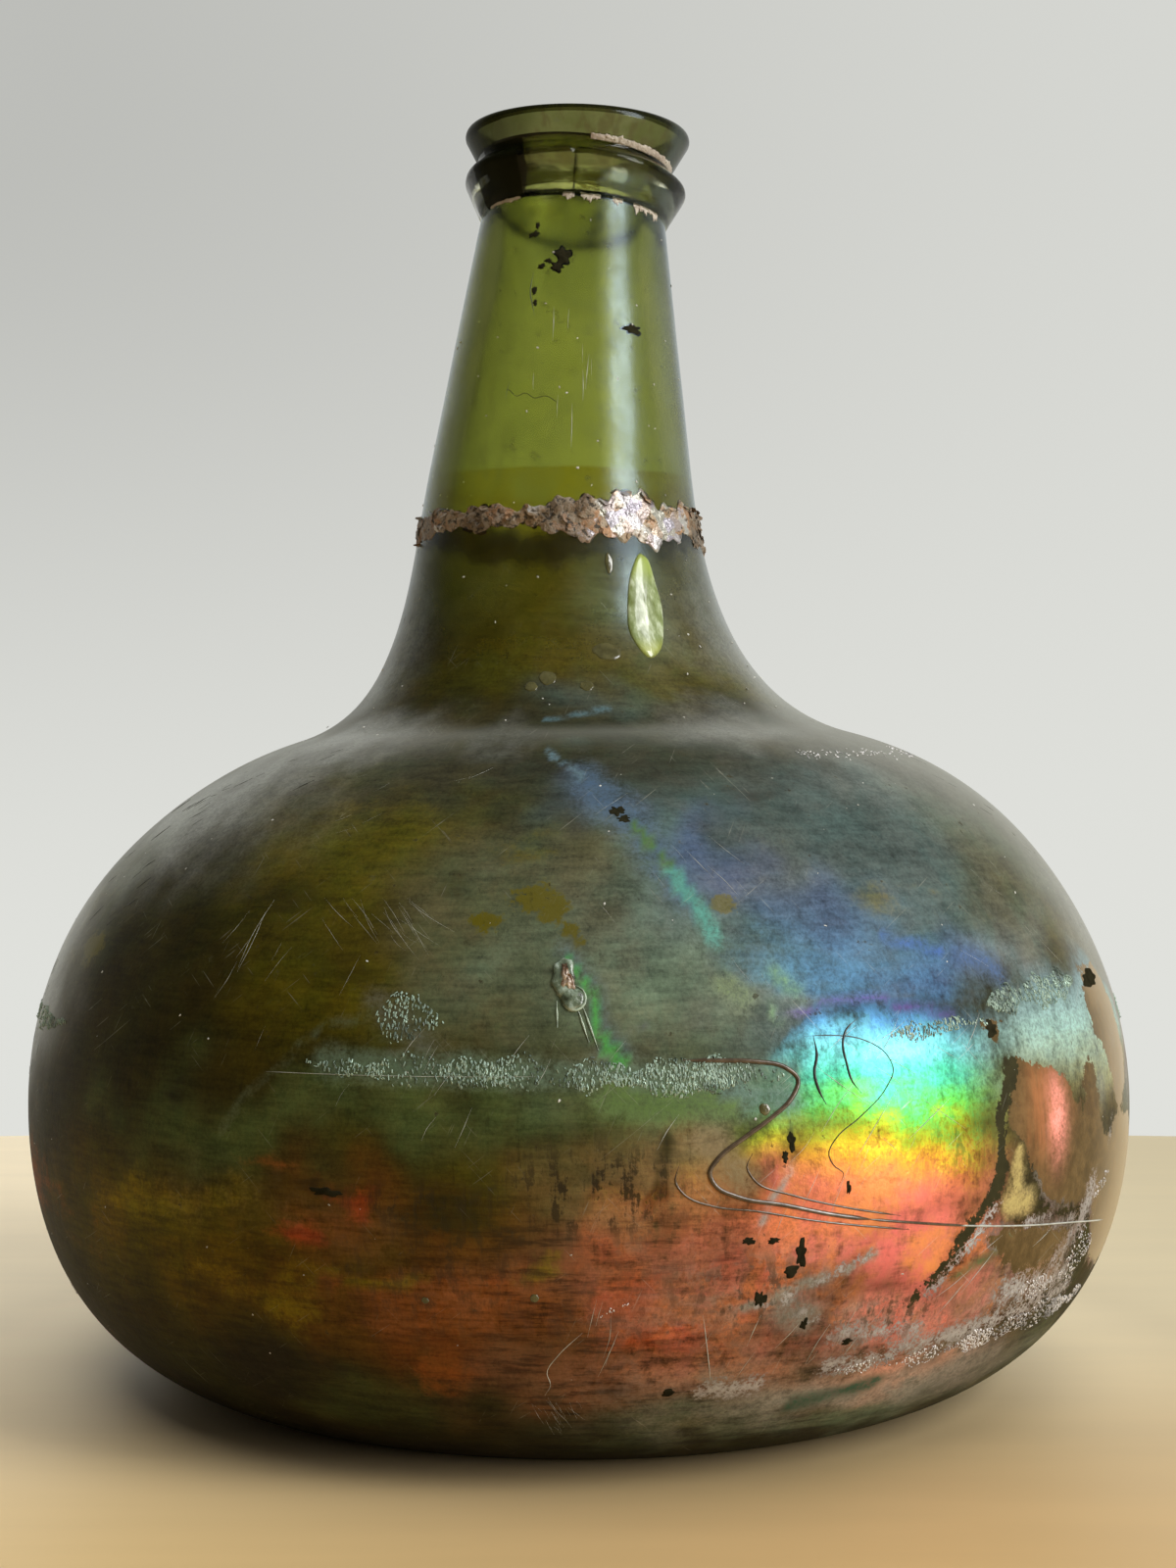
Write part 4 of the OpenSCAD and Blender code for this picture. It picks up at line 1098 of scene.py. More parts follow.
def all_round(count):
    """Azimuths at even steps all round."""
    return np.linspace(-180, 180, count, endpoint=False)


def quads(n, m, closed=False):
    """Faces of n rows of m points, closed round each row, and from the last row to the first if asked."""
    return [(i * m + j, i * m + (j + 1) % m, (i + 1) % n * m + (j + 1) % m, (i + 1) % n * m + j)
            for i in range(n if closed else n - 1) for j in range(m)]


def turned(rows, azimuths):
    """Points, faces, and the azimuth and row of each point, of a closed turned form whose ends lie on the axis."""
    a = np.radians(azimuths)
    n, m = len(rows), len(azimuths)
    grid = np.stack([rows[1:-1, 0][:, None] * np.sin(a), -rows[1:-1, 0][:, None] * np.cos(a),
                     np.repeat(rows[1:-1, 1][:, None], m, axis=1)], axis=-1).reshape(-1, 3)
    points = np.vstack([[[0, 0, rows[0, 1]]], grid, [[0, 0, rows[-1, 1]]]])
    last = len(points) - 1
    faces = [tuple(1 + i for i in face) for face in quads(n - 2, m)]
    top = 1 + (n - 3) * m
    faces += [(0, 1 + (j + 1) % m, 1 + j) for j in range(m)]
    faces += [(last, top + j, top + (j + 1) % m) for j in range(m)]
    azimuth = np.concatenate([[0], np.tile(azimuths, n - 2), [0]])
    row = np.concatenate([[0], np.repeat(np.arange(1, n - 1), m), [n - 1]])
    return points, faces, azimuth, row


def closed_band(wall, azimuths, low, high, face, count, whole, sunk=0.25):
    """A closed skin on the glass: face(azimuth, share) is how far it stands proud, and its back is sunk."""
    t = np.linspace(0, 1, count)
    m = len(azimuths)
    z = low[None, :] + (high - low)[None, :] * t[:, None]
    az = np.repeat(azimuths[None, :], count, axis=0)
    proud = np.stack([face(azimuths, share) for share in t])
    front = wall.place(az, z, proud).reshape(-1, 3)
    back = wall.place(az, z, -sunk).reshape(-1, 3)
    points = np.vstack([front, back])
    behind = count * m
    faces = []
    steps = m if whole else m - 1
    for i in range(count - 1):
        for j in range(steps):
            a, b = i * m + j, i * m + (j + 1) % m
            c, d = a + m, b + m
            faces += [(a, b, d, c), (behind + a, behind + c, behind + d, behind + b)]
    for j in range(steps):
        a, b = j, (j + 1) % m
        faces.append((a, behind + a, behind + b, b))
        c, d = (count - 1) * m + j, (count - 1) * m + (j + 1) % m
        faces.append((c, d, behind + d, behind + c))
    if not whole:
        for i in range(count - 1):
            a, c = i * m, (i + 1) * m
            faces.append((a, c, behind + c, behind + a))
            b, d = i * m + m - 1, (i + 1) * m + m - 1
            faces.append((b, behind + b, behind + d, d))
    return points, faces, len(front)


def bulge_at(azimuths, middle, half, size):
    """A rounded bulge in a line of points."""
    return size * np.exp(-((azimuths - middle) / half) ** 2)


def waves(seed, x, lengths, heights):
    """A wandering line: a few sines with fixed, seeded phases."""
    draw = np.random.default_rng(seed)
    return sum(h * np.sin(2 * np.pi * x / l + draw.uniform(0, 2 * np.pi)) for l, h in zip(lengths, heights))


# Depth in millimetres of a mound's rim and of the middle of its back in the glass
RIM_SUNK, BACK_SUNK = 0.12, 0.3


def mound(wall, place, half, proud, seed=0, ragged=0.0, lean=0.0, point=0.0, swell=0.0, rings=8, sides=28):
    """A low mound on the glass, its rim sunk in it: points, faces, and 0 at its rim to 1 at its top.

    place is its azimuth and height; half its half width and half height in millimetres; lean turns it by so many
    degrees for each millimetre of height; point narrows its upper and lower ends; swell widens the upper end.
    """
    draw = np.random.default_rng(seed)
    phi = np.arange(sides) * 2 * np.pi / sides
    outline = 1 + ragged * sum(draw.uniform(0.3, 1) * np.sin(k * phi + draw.uniform(0, 6.3)) for k in (2, 3, 5, 7))
    t = np.linspace(0, 1, rings + 1)[1:, None]
    across = half[0] * t * outline * np.cos(phi) * (1 - point * np.sin(phi) ** 2) * (1 + swell * np.sin(phi))
    rise = half[1] * t * outline * np.sin(phi)
    azimuth = place[0] + np.degrees(across / wall.radius(place[1])) + lean * rise
    lift = proud * np.sqrt(1 - t ** 2) * (1 + ragged * np.sin(7 * t + 3 * phi + seed)) - RIM_SUNK * (t == 1)
    points = np.vstack([wall.place(place[0], place[1], proud)[None, :],
                        wall.place(azimuth, place[1] + rise, lift).reshape(-1, 3),
                        wall.place(place[0], place[1], -BACK_SUNK)[None, :]])
    hub, last = len(points) - 1, 1 + (rings - 1) * sides
    faces = [(0, 1 + j, 1 + (j + 1) % sides) for j in range(sides)]
    for i in range(rings - 1):
        a, b = 1 + i * sides, 1 + (i + 1) * sides
        faces += [(a + j, b + j, b + (j + 1) % sides, a + (j + 1) % sides) for j in range(sides)]
    faces += [(hub, last + (j + 1) % sides, last + j) for j in range(sides)]
    top = np.concatenate([[1.0], np.repeat(1 - t.ravel(), sides), [0.0]])
    return points, faces, top


def joined(name, parts, materials):
    """One object of several (points, faces, numbers) parts, and their numbers end to end."""
    starts = np.cumsum([0] + [len(part[0]) for part in parts[:-1]])
    faces = [tuple(start + i for i in face) for start, part in zip(starts, parts) for face in part[1]]
    obj = new_object(name, np.vstack([part[0] for part in parts]), faces, materials)
    face_out(obj)
    return obj, np.concatenate([part[2] for part in parts])


# Geometry Nodes


def new_tree(name, **inputs):
    """A tree with these inputs, its wire, a call that gives an input, and a call that closes the tree."""
    tree = bpy.data.node_groups.new(name, "GeometryNodeTree")
    for label, kind in {"geometry": "Geometry", **inputs, "material": "Material"}.items():
        tree.interface.new_socket(name=label, in_out="INPUT", socket_type="NodeSocket" + kind)
    tree.interface.new_socket(name="Geometry", in_out="OUTPUT", socket_type="NodeSocketGeometry")
    wire = Wire(tree)
    given = wire.add("NodeGroupInput")

    def close(shape):
        plain = wire.add("GeometryNodeRealizeInstances", None, {0: shape})
        dressed = wire.add("GeometryNodeSetMaterial", None, {0: plain, "Material": given.other("material")})
        wire.add("NodeGroupOutput", None, {0: dressed})
        return tree

    return wire, given.other, close


def grain_tree():
    """Scatters turned grains over a skin, thickest where its cover is full, and keeps the skin if asked."""
    wire, asked, close = new_tree("crust_grains", density="Float", size="Float", least="Vector", most="Vector",
                                  sway="Float", keep_skin="Bool", seed="Int")
    cover = wire.add("GeometryNodeInputNamedAttribute", {"data_type": "FLOAT"}, {"Name": "cover"})
    points = wire.add("GeometryNodeDistributePointsOnFaces", None,
                      {"Mesh": asked("geometry"), "Density": asked("density") * cover, "Seed": asked("seed")})
    upright = wire.add("FunctionNodeAlignRotationToVector", {"axis": "Z"}, {"Vector": points.other(1)})
    upright = wire.add("FunctionNodeAlignRotationToVector", {"axis": "Y", "pivot_axis": "Z"},
                       {"Rotation": upright, "Vector": (0.0, 0.0, 1.0)})
    sway = wire.add("FunctionNodeRandomValue", {"data_type": "FLOAT_VECTOR"},
                    {0: (-1.0, -1.0, -1.0), 1: (1.0, 1.0, 1.0), 8: asked("seed")})
    sway = wire.add("ShaderNodeVectorMath", {"operation": "SCALE"}, {0: sway, "Scale": asked("sway")})
    turn = wire.add("FunctionNodeEulerToRotation", None, {0: sway})
    upright = wire.add("FunctionNodeRotateRotation", {"rotation_space": "LOCAL"}, {0: upright, 1: turn})
    size = wire.add("FunctionNodeRandomValue", {"data_type": "FLOAT_VECTOR"},
                    {0: asked("least"), 1: asked("most"), 8: asked("seed") + 7})
    grain = wire.add("GeometryNodeMeshIcoSphere", None, {"Radius": asked("size"), "Subdivisions": 1})
    grains = wire.add("GeometryNodeInstanceOnPoints", None,
                      {"Points": points, "Instance": grain, "Rotation": upright, "Scale": size})
    kept = wire.add("GeometryNodeSwitch", {"input_type": "GEOMETRY"}, {0: asked("keep_skin"), 2: asked("geometry")})
    both = wire.add("GeometryNodeJoinGeometry", None, {0: [grains, kept]})
    return close(both)


def thread_tree():
    """Sweeps a round along every curve, as thick as the curve's own radius."""
    wire, asked, close = new_tree("surface_threads", thickness="Float", sides="Int")
    section = wire.add("GeometryNodeCurvePrimitiveCircle", None, {"Resolution": asked("sides"),
                                                                  "Radius": asked("thickness")})
    swell = wire.add("GeometryNodeInputRadius")
    return close(wire.add("GeometryNodeCurveToMesh", None, {"Curve": asked("geometry"), "Profile Curve": section,
                                                            "Scale": swell, "Fill Caps": True}))


def grown(obj, tree, **values):
    """The object's mesh after a Geometry Nodes tree, as a plain mesh piece of the same name."""
    name = obj.name
    modifier = obj.modifiers.new("grown", "NODES")
    modifier.node_group = tree
    for item in tree.interface.items_tree:
        if item.in_out == "INPUT" and item.name in values:
            modifier[item.identifier] = values[item.name]
    bpy.context.view_layer.update()
    depsgraph = bpy.context.evaluated_depsgraph_get()
    mesh = bpy.data.meshes.new_from_object(obj.evaluated_get(depsgraph), depsgraph=depsgraph)
    obj.modifiers.clear()
    bpy.data.objects.remove(obj)
    mesh.name = name
    return placed(name, mesh)


# Spacing in millimetres of the points along a thread, how many of them its ends taper over, and how thin they get
THREAD_STEP, TAPER_STEPS, TAPER_LEAST = 0.5, 4.0, 0.25


def thread_piece(name, wall, lines, material, thickness, lift, sides=8):
    """Threads laid on the glass: each line is ([(azimuth, height), ...], share of the thickness)."""
    data = bpy.data.curves.new(name + "_path", "CURVE")
    data.dimensions = "3D"
    for line, thick in lines:
        fine = even(smooth_line(np.array(line, float)), THREAD_STEP)
        at = blown(wall.place(fine[:, 0], fine[:, 1], lift)) * MM
        spline = data.splines.new("POLY")
        spline.points.add(len(at) - 1)
        from_end = np.minimum(np.arange(len(at)), np.arange(len(at))[::-1])
        taper = np.clip(from_end / TAPER_STEPS, TAPER_LEAST, 1.0)
        for point, co, t in zip(spline.points, at, taper):
            point.co = (*co, 1.0)
            point.radius = float(t * thick)
    piece = grown(placed(name, data), thread_tree(), thickness=thickness * MM, sides=sides, material=material)
    face_out(piece)
    return piece


def smooth_line(points):
    """A rounded path through a few points."""
    along = np.concatenate([[0], np.cumsum(np.linalg.norm(np.diff(points, axis=0), axis=1))])
    at = np.linspace(0, along[-1], max(24, 8 * len(points)))
    return np.stack([hermite(at, along, p, np.gradient(p, along)) for p in points.T], axis=1)


# Operators, one for each piece or group of like pieces


def settings():
    """The settings of the bottle's form, rim, finishes and stage."""
    scene = bpy.context.scene
    return scene.bottle_form, scene.bottle_rim, scene.bottle_finishes, scene.bottle_stage


def bench():
    """What most pieces are made with: the wall, and the settings of the rim and the finishes."""
    form, rim, look, _ = settings()
    return Wall(form), rim, look


class BOTTLE_OT_wall(bpy.types.Operator):
    """Blow the wall of the bottle: base, body, shoulder, neck and lip"""

    bl_idname = "bottle.wall"
    bl_label = "Blown wall"

    def execute(self, context):
        form, _, look, _ = settings()
        wall = Wall(form)
        points, faces, azimuth, row = turned(wall.rows, columns(form))
        obj = new_object("blown_bottle", points, faces, [weathered_glass(look), inner_glass()])
        mesh = obj.data
        for name, values in surface_marks(azimuth, points[:, 2], points).items():
            give(obj, name, values)
        ground, stain = layered(look, azimuth, points[:, 2], points)
        tinge = tinged(azimuth, points[:, 2], points)
        for name, shades in (("ground", ground), ("stain", stain), ("tinge", tinge)):
            layer = mesh.color_attributes.new(name, "FLOAT_COLOR", "POINT")
            layer.data.foreach_set("color", shades.astype(np.float32).ravel())
        lowest = [min(row[i] for i in face) for face in faces]
        mesh.polygons.foreach_set("material_index", [int(k >= wall.mouth_row) for k in lowest])
        face_out(obj)
        settle(obj, "olive_glass", "bottle_body")
        return {"FINISHED"}


# The trail's lapped join and its drip: azimuth, half width in degrees, size in millimetres
LAP_RIDGE, LAP_GROOVE, DRIP = (-3.5, 3.0, 0.22), (0.5, 1.3, -0.40), (-74, 9, 0.9)
# The dark line along the lap, in the same form but for its strength
LAP_SHADE = (0.5, 1.8, 0.56)
# Dark stretches of the trail: where each begins and is full, where it fades and ends, strength
DARK_ARCS = ((-70, -60, -34, -28, 1.0), (150, 160, 168, 176, 0.4))
# Mesh columns, points round the ridge, and spacing of the rows in millimetres
RIM_COLUMNS, RIDGE_POINTS, RIM_ROWS = 240, 9, 0.7
# How far the trail's back lies in the glass, and the least that its face stands proud, in millimetres
TRAIL_SUNK, TRAIL_PROUD = 0.18, 0.02


class BOTTLE_OT_string_rim(bpy.types.Operator):
    """Lay the string rim round the neck, askew, with its lapped join at the front"""

    bl_idname = "bottle.string_rim"
    bl_label = "String rim"

    def execute(self, context):
        wall, rim, _ = bench()
        ridge_h = wall.height - rim.drop / MM
        azimuths = all_round(RIM_COLUMNS)
        ridge = np.array([(rim.radius - rim.ridge) / MM, 0.0])
        above, below = rim.above / MM, rim.below / MM
        reach = rim.radius / MM - wall.radius(ridge_h)
        upper, lower = math.degrees(math.atan2(above, reach)), math.degrees(math.atan2(below, reach))
        arc = [ridge + rim.ridge / MM * heading(d) for d in np.linspace(lower - 90, 90 - upper, RIDGE_POINTS)]
        low_end = np.array([wall.radius(ridge_h - below), -below])
        high_end = np.array([wall.radius(ridge_h), above])
        face = np.vstack([even(np.vstack([low_end, arc[0]]), RIM_ROWS), arc[1:-1],
                          even(np.vstack([arc[-1], high_end]), RIM_ROWS)])
        lap = bulge_at(azimuths, *LAP_RIDGE) + bulge_at(azimuths, *LAP_GROOVE)
        drip = bulge_at(azimuths, *DRIP)
        wobble = waves(5, azimuths, (360, 120, 47), (0.12, 0.08, 0.05))
        out = np.clip((face[:, :1] - low_end[0]) / (ridge[0] - low_end[0]), 0, 1)
        r = face[:, :1] + (lap + wobble) * out
        z = face[:, 1:] - drip * smooth(-face[:, 1:] / below, 0.3, 1.0)
        a = np.radians(azimuths)
        height = ridge_h + z * math.cos(rim.tilt) + r * math.sin(rim.tilt) * np.cos(a - rim.high_side)
        seat = wall.radius(height)
        ends = np.isin(np.arange(len(face)), (0, len(face) - 1))[:, None]
        r = np.where(ends, seat - TRAIL_SUNK, np.maximum(r, seat + TRAIL_PROUD))
        back_h = height[-1] + (height[0] - height[-1]) * np.array([[0.25], [0.5], [0.75]])
        r, height = np.vstack([r, wall.radius(back_h) - TRAIL_SUNK]), np.vstack([height, back_h])
        loops = np.stack([r * np.sin(a), -r * np.cos(a), height], axis=-1)
        n, m = loops.shape[:2]
        obj = new_object("string_rim_trail", loops.reshape(-1, 3), quads(n, m, True), [rim_glass()])
        arcs = [strength * smooth(azimuths, *ends[:2]) * (1 - smooth(azimuths, *ends[2:]))
                for *ends, strength in DARK_ARCS]
        give(obj, "lap", np.tile(np.max([bulge_at(azimuths, *LAP_SHADE), *arcs], axis=0), n))
        face_out(obj)
        settle(obj, "rim_glass", "string_rim")
        return {"FINISHED"}


# Share of its full height that the neck's crust keeps, by azimuth
CRUST_FULL = [
    (-180, 0.9), (-90, 0.75), (-60, 0.52), (-25, 0.58), (0, 0.8), (25, 1.1), (60, 1.1), (110, 0.9), (180, 0.9),
]
# Shares of half its height that it reaches down and up; its usual height off the glass, how far its lumps change
# that, and the least and most it may be, in millimetres
COLLAR_DOWN, COLLAR_UP, COLLAR_PROUD, LUMPINESS, COLLAR_LIMITS = 0.84, 0.70, 0.20, 0.46, (0.02, 0.5)
# Mesh columns and rows, and how many wavy lines shape its face
COLLAR_COLUMNS, COLLAR_ROWS, COLLAR_LUMPS = 360, 15, 6
# Where it is painted with a sparkle of light: azimuth, half width in degrees, strength
PAINTED_SPARKLES = ((37, 25, 0.94), (-12, 7, 0.45), (-48, 9, 0.4), (140, 30, 0.9), (-120, 22, 0.7))


class BOTTLE_OT_neck_crust(bpy.types.Operator):
    """Grow the ragged collar of crust round the foot of the neck"""

    bl_idname = "bottle.neck_crust"
    bl_label = "Neck crust"

    def execute(self, context):
        wall, rim, look = bench()
        azimuths = all_round(COLLAR_COLUMNS)
        middle, half = rim.crust_height / MM, rim.crust_width / MM / 2
        full = through(azimuths, CRUST_FULL)
        lower = waves(11, azimuths, (360, 90, 36, 14.4, 7.2), (0.3, 0.5, 0.55, 0.5, 0.3))
        upper = waves(12, azimuths, (360, 72, 30, 12, 6), (0.3, 0.45, 0.5, 0.5, 0.3))
        low = middle - full * (half * COLLAR_DOWN - lower)
        high = middle + full * (half * COLLAR_UP + upper)
        lumps = [waves(20 + k, azimuths, (60, 24, 10, 5, 3), (0.14, 0.2, 0.22, 0.16, 0.1))
                 for k in range(COLLAR_LUMPS)]

        def face(azimuth, t):
            k = t * (len(lumps) - 1)
            lump = lumps[int(k)] * (1 - k % 1) + lumps[min(int(k) + 1, len(lumps) - 1)] * (k % 1)
            return np.clip((COLLAR_PROUD + LUMPINESS * lump) * math.sin(math.pi * t) ** 0.5, *COLLAR_LIMITS)

        points, faces, front = closed_band(wall, azimuths, low, high, face, COLLAR_ROWS, True)
        obj = new_object("neck_crust_collar", points, faces, [])
        give(obj, "cover", np.arange(len(points)) < front)
        sparkle = np.max([blob(azimuths, 0, (a, 0, w, 1), 4) * s for a, w, s in PAINTED_SPARKLES], axis=0)
        give(obj, "sparkle", np.tile(sparkle, len(points) // len(azimuths)))
        face_out(obj)
        piece = grown(obj, grain_tree(), density=1.0e6, size=1.0 * MM, least=(0.35, 0.25, 0.03),
                      most=(1.3, 0.95, 0.08), sway=0.09, keep_skin=True, seed=3, material=brown_crust(look))
        settle(piece, "brown_crust", "neck_crust")
        return {"FINISHED"}


# Lime at the string rim: first and last azimuth, +1 above the rim or -1 below it, width
LIME_RUNS = [
    (8, 84, 1, 0.15), (5, 17, -1, 0.5), (25, 32, -1, 0.7), (40, 64, -1, 0.75), (-62, -34, -1, 0.2),
    (-6, 1, -1, 0.4), (140, 230, 1, 0.5), (120, 150, -1, 0.6),
]
# Rows of its skin, how far it laps onto the rim, and its least height and rise off the glass, in millimetres
LIME_ROWS, LIME_LAP, LIME_PROUD, LIME_RISE = 6, 0.6, 0.04, 0.09


class BOTTLE_OT_rim_lime(bpy.types.Operator):
    """Lodge the lime above the string rim and along its lower edge"""

    bl_idname = "bottle.rim_lime"
    bl_label = "Rim lime"

    def execute(self, context):
        wall, rim, look = bench()
        ridge_h = wall.height - rim.drop / MM
        parts = []
        for seed, (start, end, side, width) in enumerate(LIME_RUNS):
            az = np.linspace(start, end, int((end - start) * 4))
            tilt = wall.radius(ridge_h) * math.sin(rim.tilt) * np.cos(np.radians(az) - rim.high_side)
            edge = ridge_h + tilt + (rim.above / MM if side > 0 else -rim.below / MM)
            ragged = waves(30 + seed, az, (23, 9, 4.1, 1.9), (0.3, 0.35, 0.35, 0.25))
            taper = smooth(az, start, start + 2) * (1 - smooth(az, end - 2, end))
            reach = width * np.clip(0.35 + ragged, 0.0, 1.5) * taper + 0.02
            low, high = (edge - LIME_LAP, edge + reach) if side > 0 else (edge - reach, edge + LIME_LAP)
            bulge = taper * np.clip(0.6 + waves(50 + seed, az, (9, 4), (0.3, 0.25)), 0.1, 1.2)

            def face(azimuth, t, bulge=bulge):
                return LIME_PROUD + LIME_RISE * bulge * math.sin(math.pi * t)

            points, faces, front = closed_band(wall, az, low, high, face, LIME_ROWS, False)
            parts.append((points, faces, np.arange(len(points)) < front))
        obj, cover = joined("rim_lime_crumbs", parts, [])
        give(obj, "cover", cover)
        piece = grown(obj, grain_tree(), density=3.0e6, size=0.20 * MM, least=(0.4, 0.4, 0.15),
                      most=(1.4, 1.1, 0.4), sway=0.5, keep_skin=True, seed=8,
                      material=chalky("rim_lime", look.lime, (0.38, 0.32, 0.26), 300))
        settle(piece, "lime", "rim_lime")
        return {"FINISHED"}


# Stretches of crystals along a line: first and last azimuth, height off the line at each, width, cover
WAIST_RUNS = [
    (-19, -5, 0.5, 0.3, 3.4, 0.8), (-9, 5, 0.8, 0.6, 4.2, 0.9), (2, 18, 0.3, 0.2, 3.4, 1.4),
    (-24, -18, 0.9, 0.6, 2.4, 0.6), (29, 42, 3.9, 4.6, 2.0, 0.9), (41.5, 59, 6.2, 8.2, 4.2, 1.3),
    (-18, -11.5, 6.4, 5.6, 7.6, 0.6), (75, 170, 2.5, 1, 2.6, 0.8), (-150, -60, 0, 2, 2.4, 0.6),
]
HEEL_RUNS = [
    (25, 40, -1.3, -0.2, 1.8, 0.8), (38, 66, -0.2, 1.6, 3.0, 1.2), (54, 61, 6, 9, 9.0, 0.5),
    (44, 54, 5.5, 5, 2.6, 0.5), (58, 63, 15, 17, 4.0, 0.5), (110, 190, 1, 2, 2.2, 0.9),
    (-130, -70, 0, -1, 1.8, 0.8), (0.5, 4.5, 6.4, 9.0, 1.6, 0.9),
]
SHOULDER_RUNS = [(34, 78, 0, 0, 1.2, 0.8), (-150, -120, -4, -5, 1.0, 0.7)]
# Rows of the skin that the crystals stand on, its height off the glass and its depth in it, and how far they sway
FROST_ROWS, FROST_PROUD, FROST_SUNK, FROST_SWAY = 6, 0.02, 0.1, 0.35


class BOTTLE_OT_frost(bpy.types.Operator):
    """Grow the frosted lines of crystals on the waist, heel and shoulder"""

    bl_idname = "bottle.frost"
    bl_label = "Frosted lines"

    def grow(self, name, wall, line, runs, material, slot, node, density, size, least, most, seed):
        """Crystals on the runs along a line: so many a square metre, each of a size in millimetres."""
        line, parts = line / MM, []
        for k, (start, end, first, last, width, cover) in enumerate(runs):
            az = np.linspace(start, end, max(12, int((end - start) * 1.6)))
            centre = np.interp(az, (start, end), (line + first, line + last))
            centre = centre + waves(seed + k, az, (19, 7), (0.25, 0.15))
            taper = np.sqrt(smooth(az, start, start + 4) * (1 - smooth(az, end - 4, end)))
            ragged = waves(seed * 10 + k, az, (23, 11, 5.3, 2.6), (0.2, 0.22, 0.2, 0.15))
            half = width / 2 * np.clip(0.8 + ragged, 0.15, 1.4) * taper + 0.06

            def face(azimuth, t):
                return np.full(len(azimuth), FROST_PROUD)

            points, faces, front = closed_band(wall, az, centre - half, centre + half, face, FROST_ROWS, False,
                                               FROST_SUNK)
            patchy = np.clip(0.75 + waves(seed * 10 + k + 5, az, (17, 8, 3.1), (0.3, 0.3, 0.3)), 0.05, 1.4) * cover
            patchy = np.tile(patchy, 2 * FROST_ROWS)
            parts.append((points, faces, np.where(np.arange(len(points)) < front, patchy, 0.0)))
        obj, cover = joined(name, parts, [])
        give(obj, "cover", cover)
        piece = grown(obj, grain_tree(), density=density, size=size * MM, least=least, most=most, sway=FROST_SWAY,
                      keep_skin=False, seed=seed, material=material)
        settle(piece, slot, node)

    def execute(self, context):
        wall, rim, look = bench()
        self.grow("waist_frost", wall, rim.waist_height, WAIST_RUNS,
                  frosted("waist_frost", look.frost, (0.36, 0.48, 0.38)), "frosted_crust", "waist_crust",
                  1.0e7, 0.13, (0.4, 0.8, 0.3), (1.2, 3.4, 0.7), 4)
        self.grow("heel_frost", wall, rim.heel_height, HEEL_RUNS,
                  frosted("heel_frost", look.silver, (0.72, 0.70, 0.67)), "silver_crust", "heel_crust",
                  9.0e6, 0.13, (0.5, 0.6, 0.25), (1.3, 1.9, 0.7), 5)
        self.grow("shoulder_frost", wall, rim.shoulder_line, SHOULDER_RUNS,
                  frosted("shoulder_frost", look.silver, (0.66, 0.66, 0.62)), "silver_crust", "shoulder_crust",
                  2.0e6, 0.16, (0.5, 0.5, 0.25), (1.6, 1.2, 0.6), 6)
        return {"FINISHED"}


# Columns and rows of the skin that the specks are scattered on, and its lowest and highest place
SPECK_COLUMNS, SPECK_ROWS, SPECK_REACH = 72, 44, (12, 158)


class BOTTLE_OT_specks(bpy.types.Operator):
    """Scatter salt specks over the outside"""

    bl_idname = "bottle.specks"
    bl_label = "Salt specks"

    def execute(self, context):
        wall, _, _ = bench()
        az, z = np.meshgrid(all_round(SPECK_COLUMNS), np.linspace(*SPECK_REACH, SPECK_ROWS))
        obj = new_object("salt_specks", wall.place(az, z).reshape(-1, 3), quads(SPECK_ROWS, SPECK_COLUMNS), [])
        give(obj, "cover", (0.45 + 0.55 * smooth(z, 60, 84)).ravel())
        piece = grown(obj, grain_tree(), density=13000.0, size=0.15 * MM, least=(0.4, 0.4, 0.3),
                      most=(1.7, 1.7, 0.8), sway=0.6, keep_skin=False, seed=14,
                      material=chalky("salt_specks", (0.70, 0.70, 0.64), (0.36, 0.36, 0.30), 900))
        settle(piece, "silver_crust")
        return {"FINISHED"}


# Threads on the glass: a path of (azimuth, height) places and a share of the thickness
CORDS = [
    ([(9, 50.0), (12, 49.9), (15.4, 49.7), (18.1, 49), (19.2, 47.8), (18.5, 45.7), (16.6, 43.7), (14.2, 41.7),
     (12, 39.7), (11.1, 38), (11.7, 36.4), (13.6, 35.2), (17.7, 34.1), (21.9, 32.8), (26.4, 31.7)], 1.0),
    ([(25, 32), (31.7, 30.7), (37.5, 29.6)], 0.6),
    ([(8.5, 38.8), (8.2, 37.1), (9.2, 35.4), (11.4, 34.3), (15.1, 33.6), (20, 32.3), (30, 30.2)], 0.45),
    ([(14.8, 39.9), (14.3, 38.6), (15.1, 36.8), (18.5, 35.1), (23.1, 33.5), (29, 31.9)], 0.45),
    ([(-160, 44), (-140, 41), (-120, 43), (-104, 38), (-98, 33), (-108, 29)], 0.8),
    ([(100, 58), (122, 55), (140, 57), (158, 52), (166, 46)], 0.8),
]
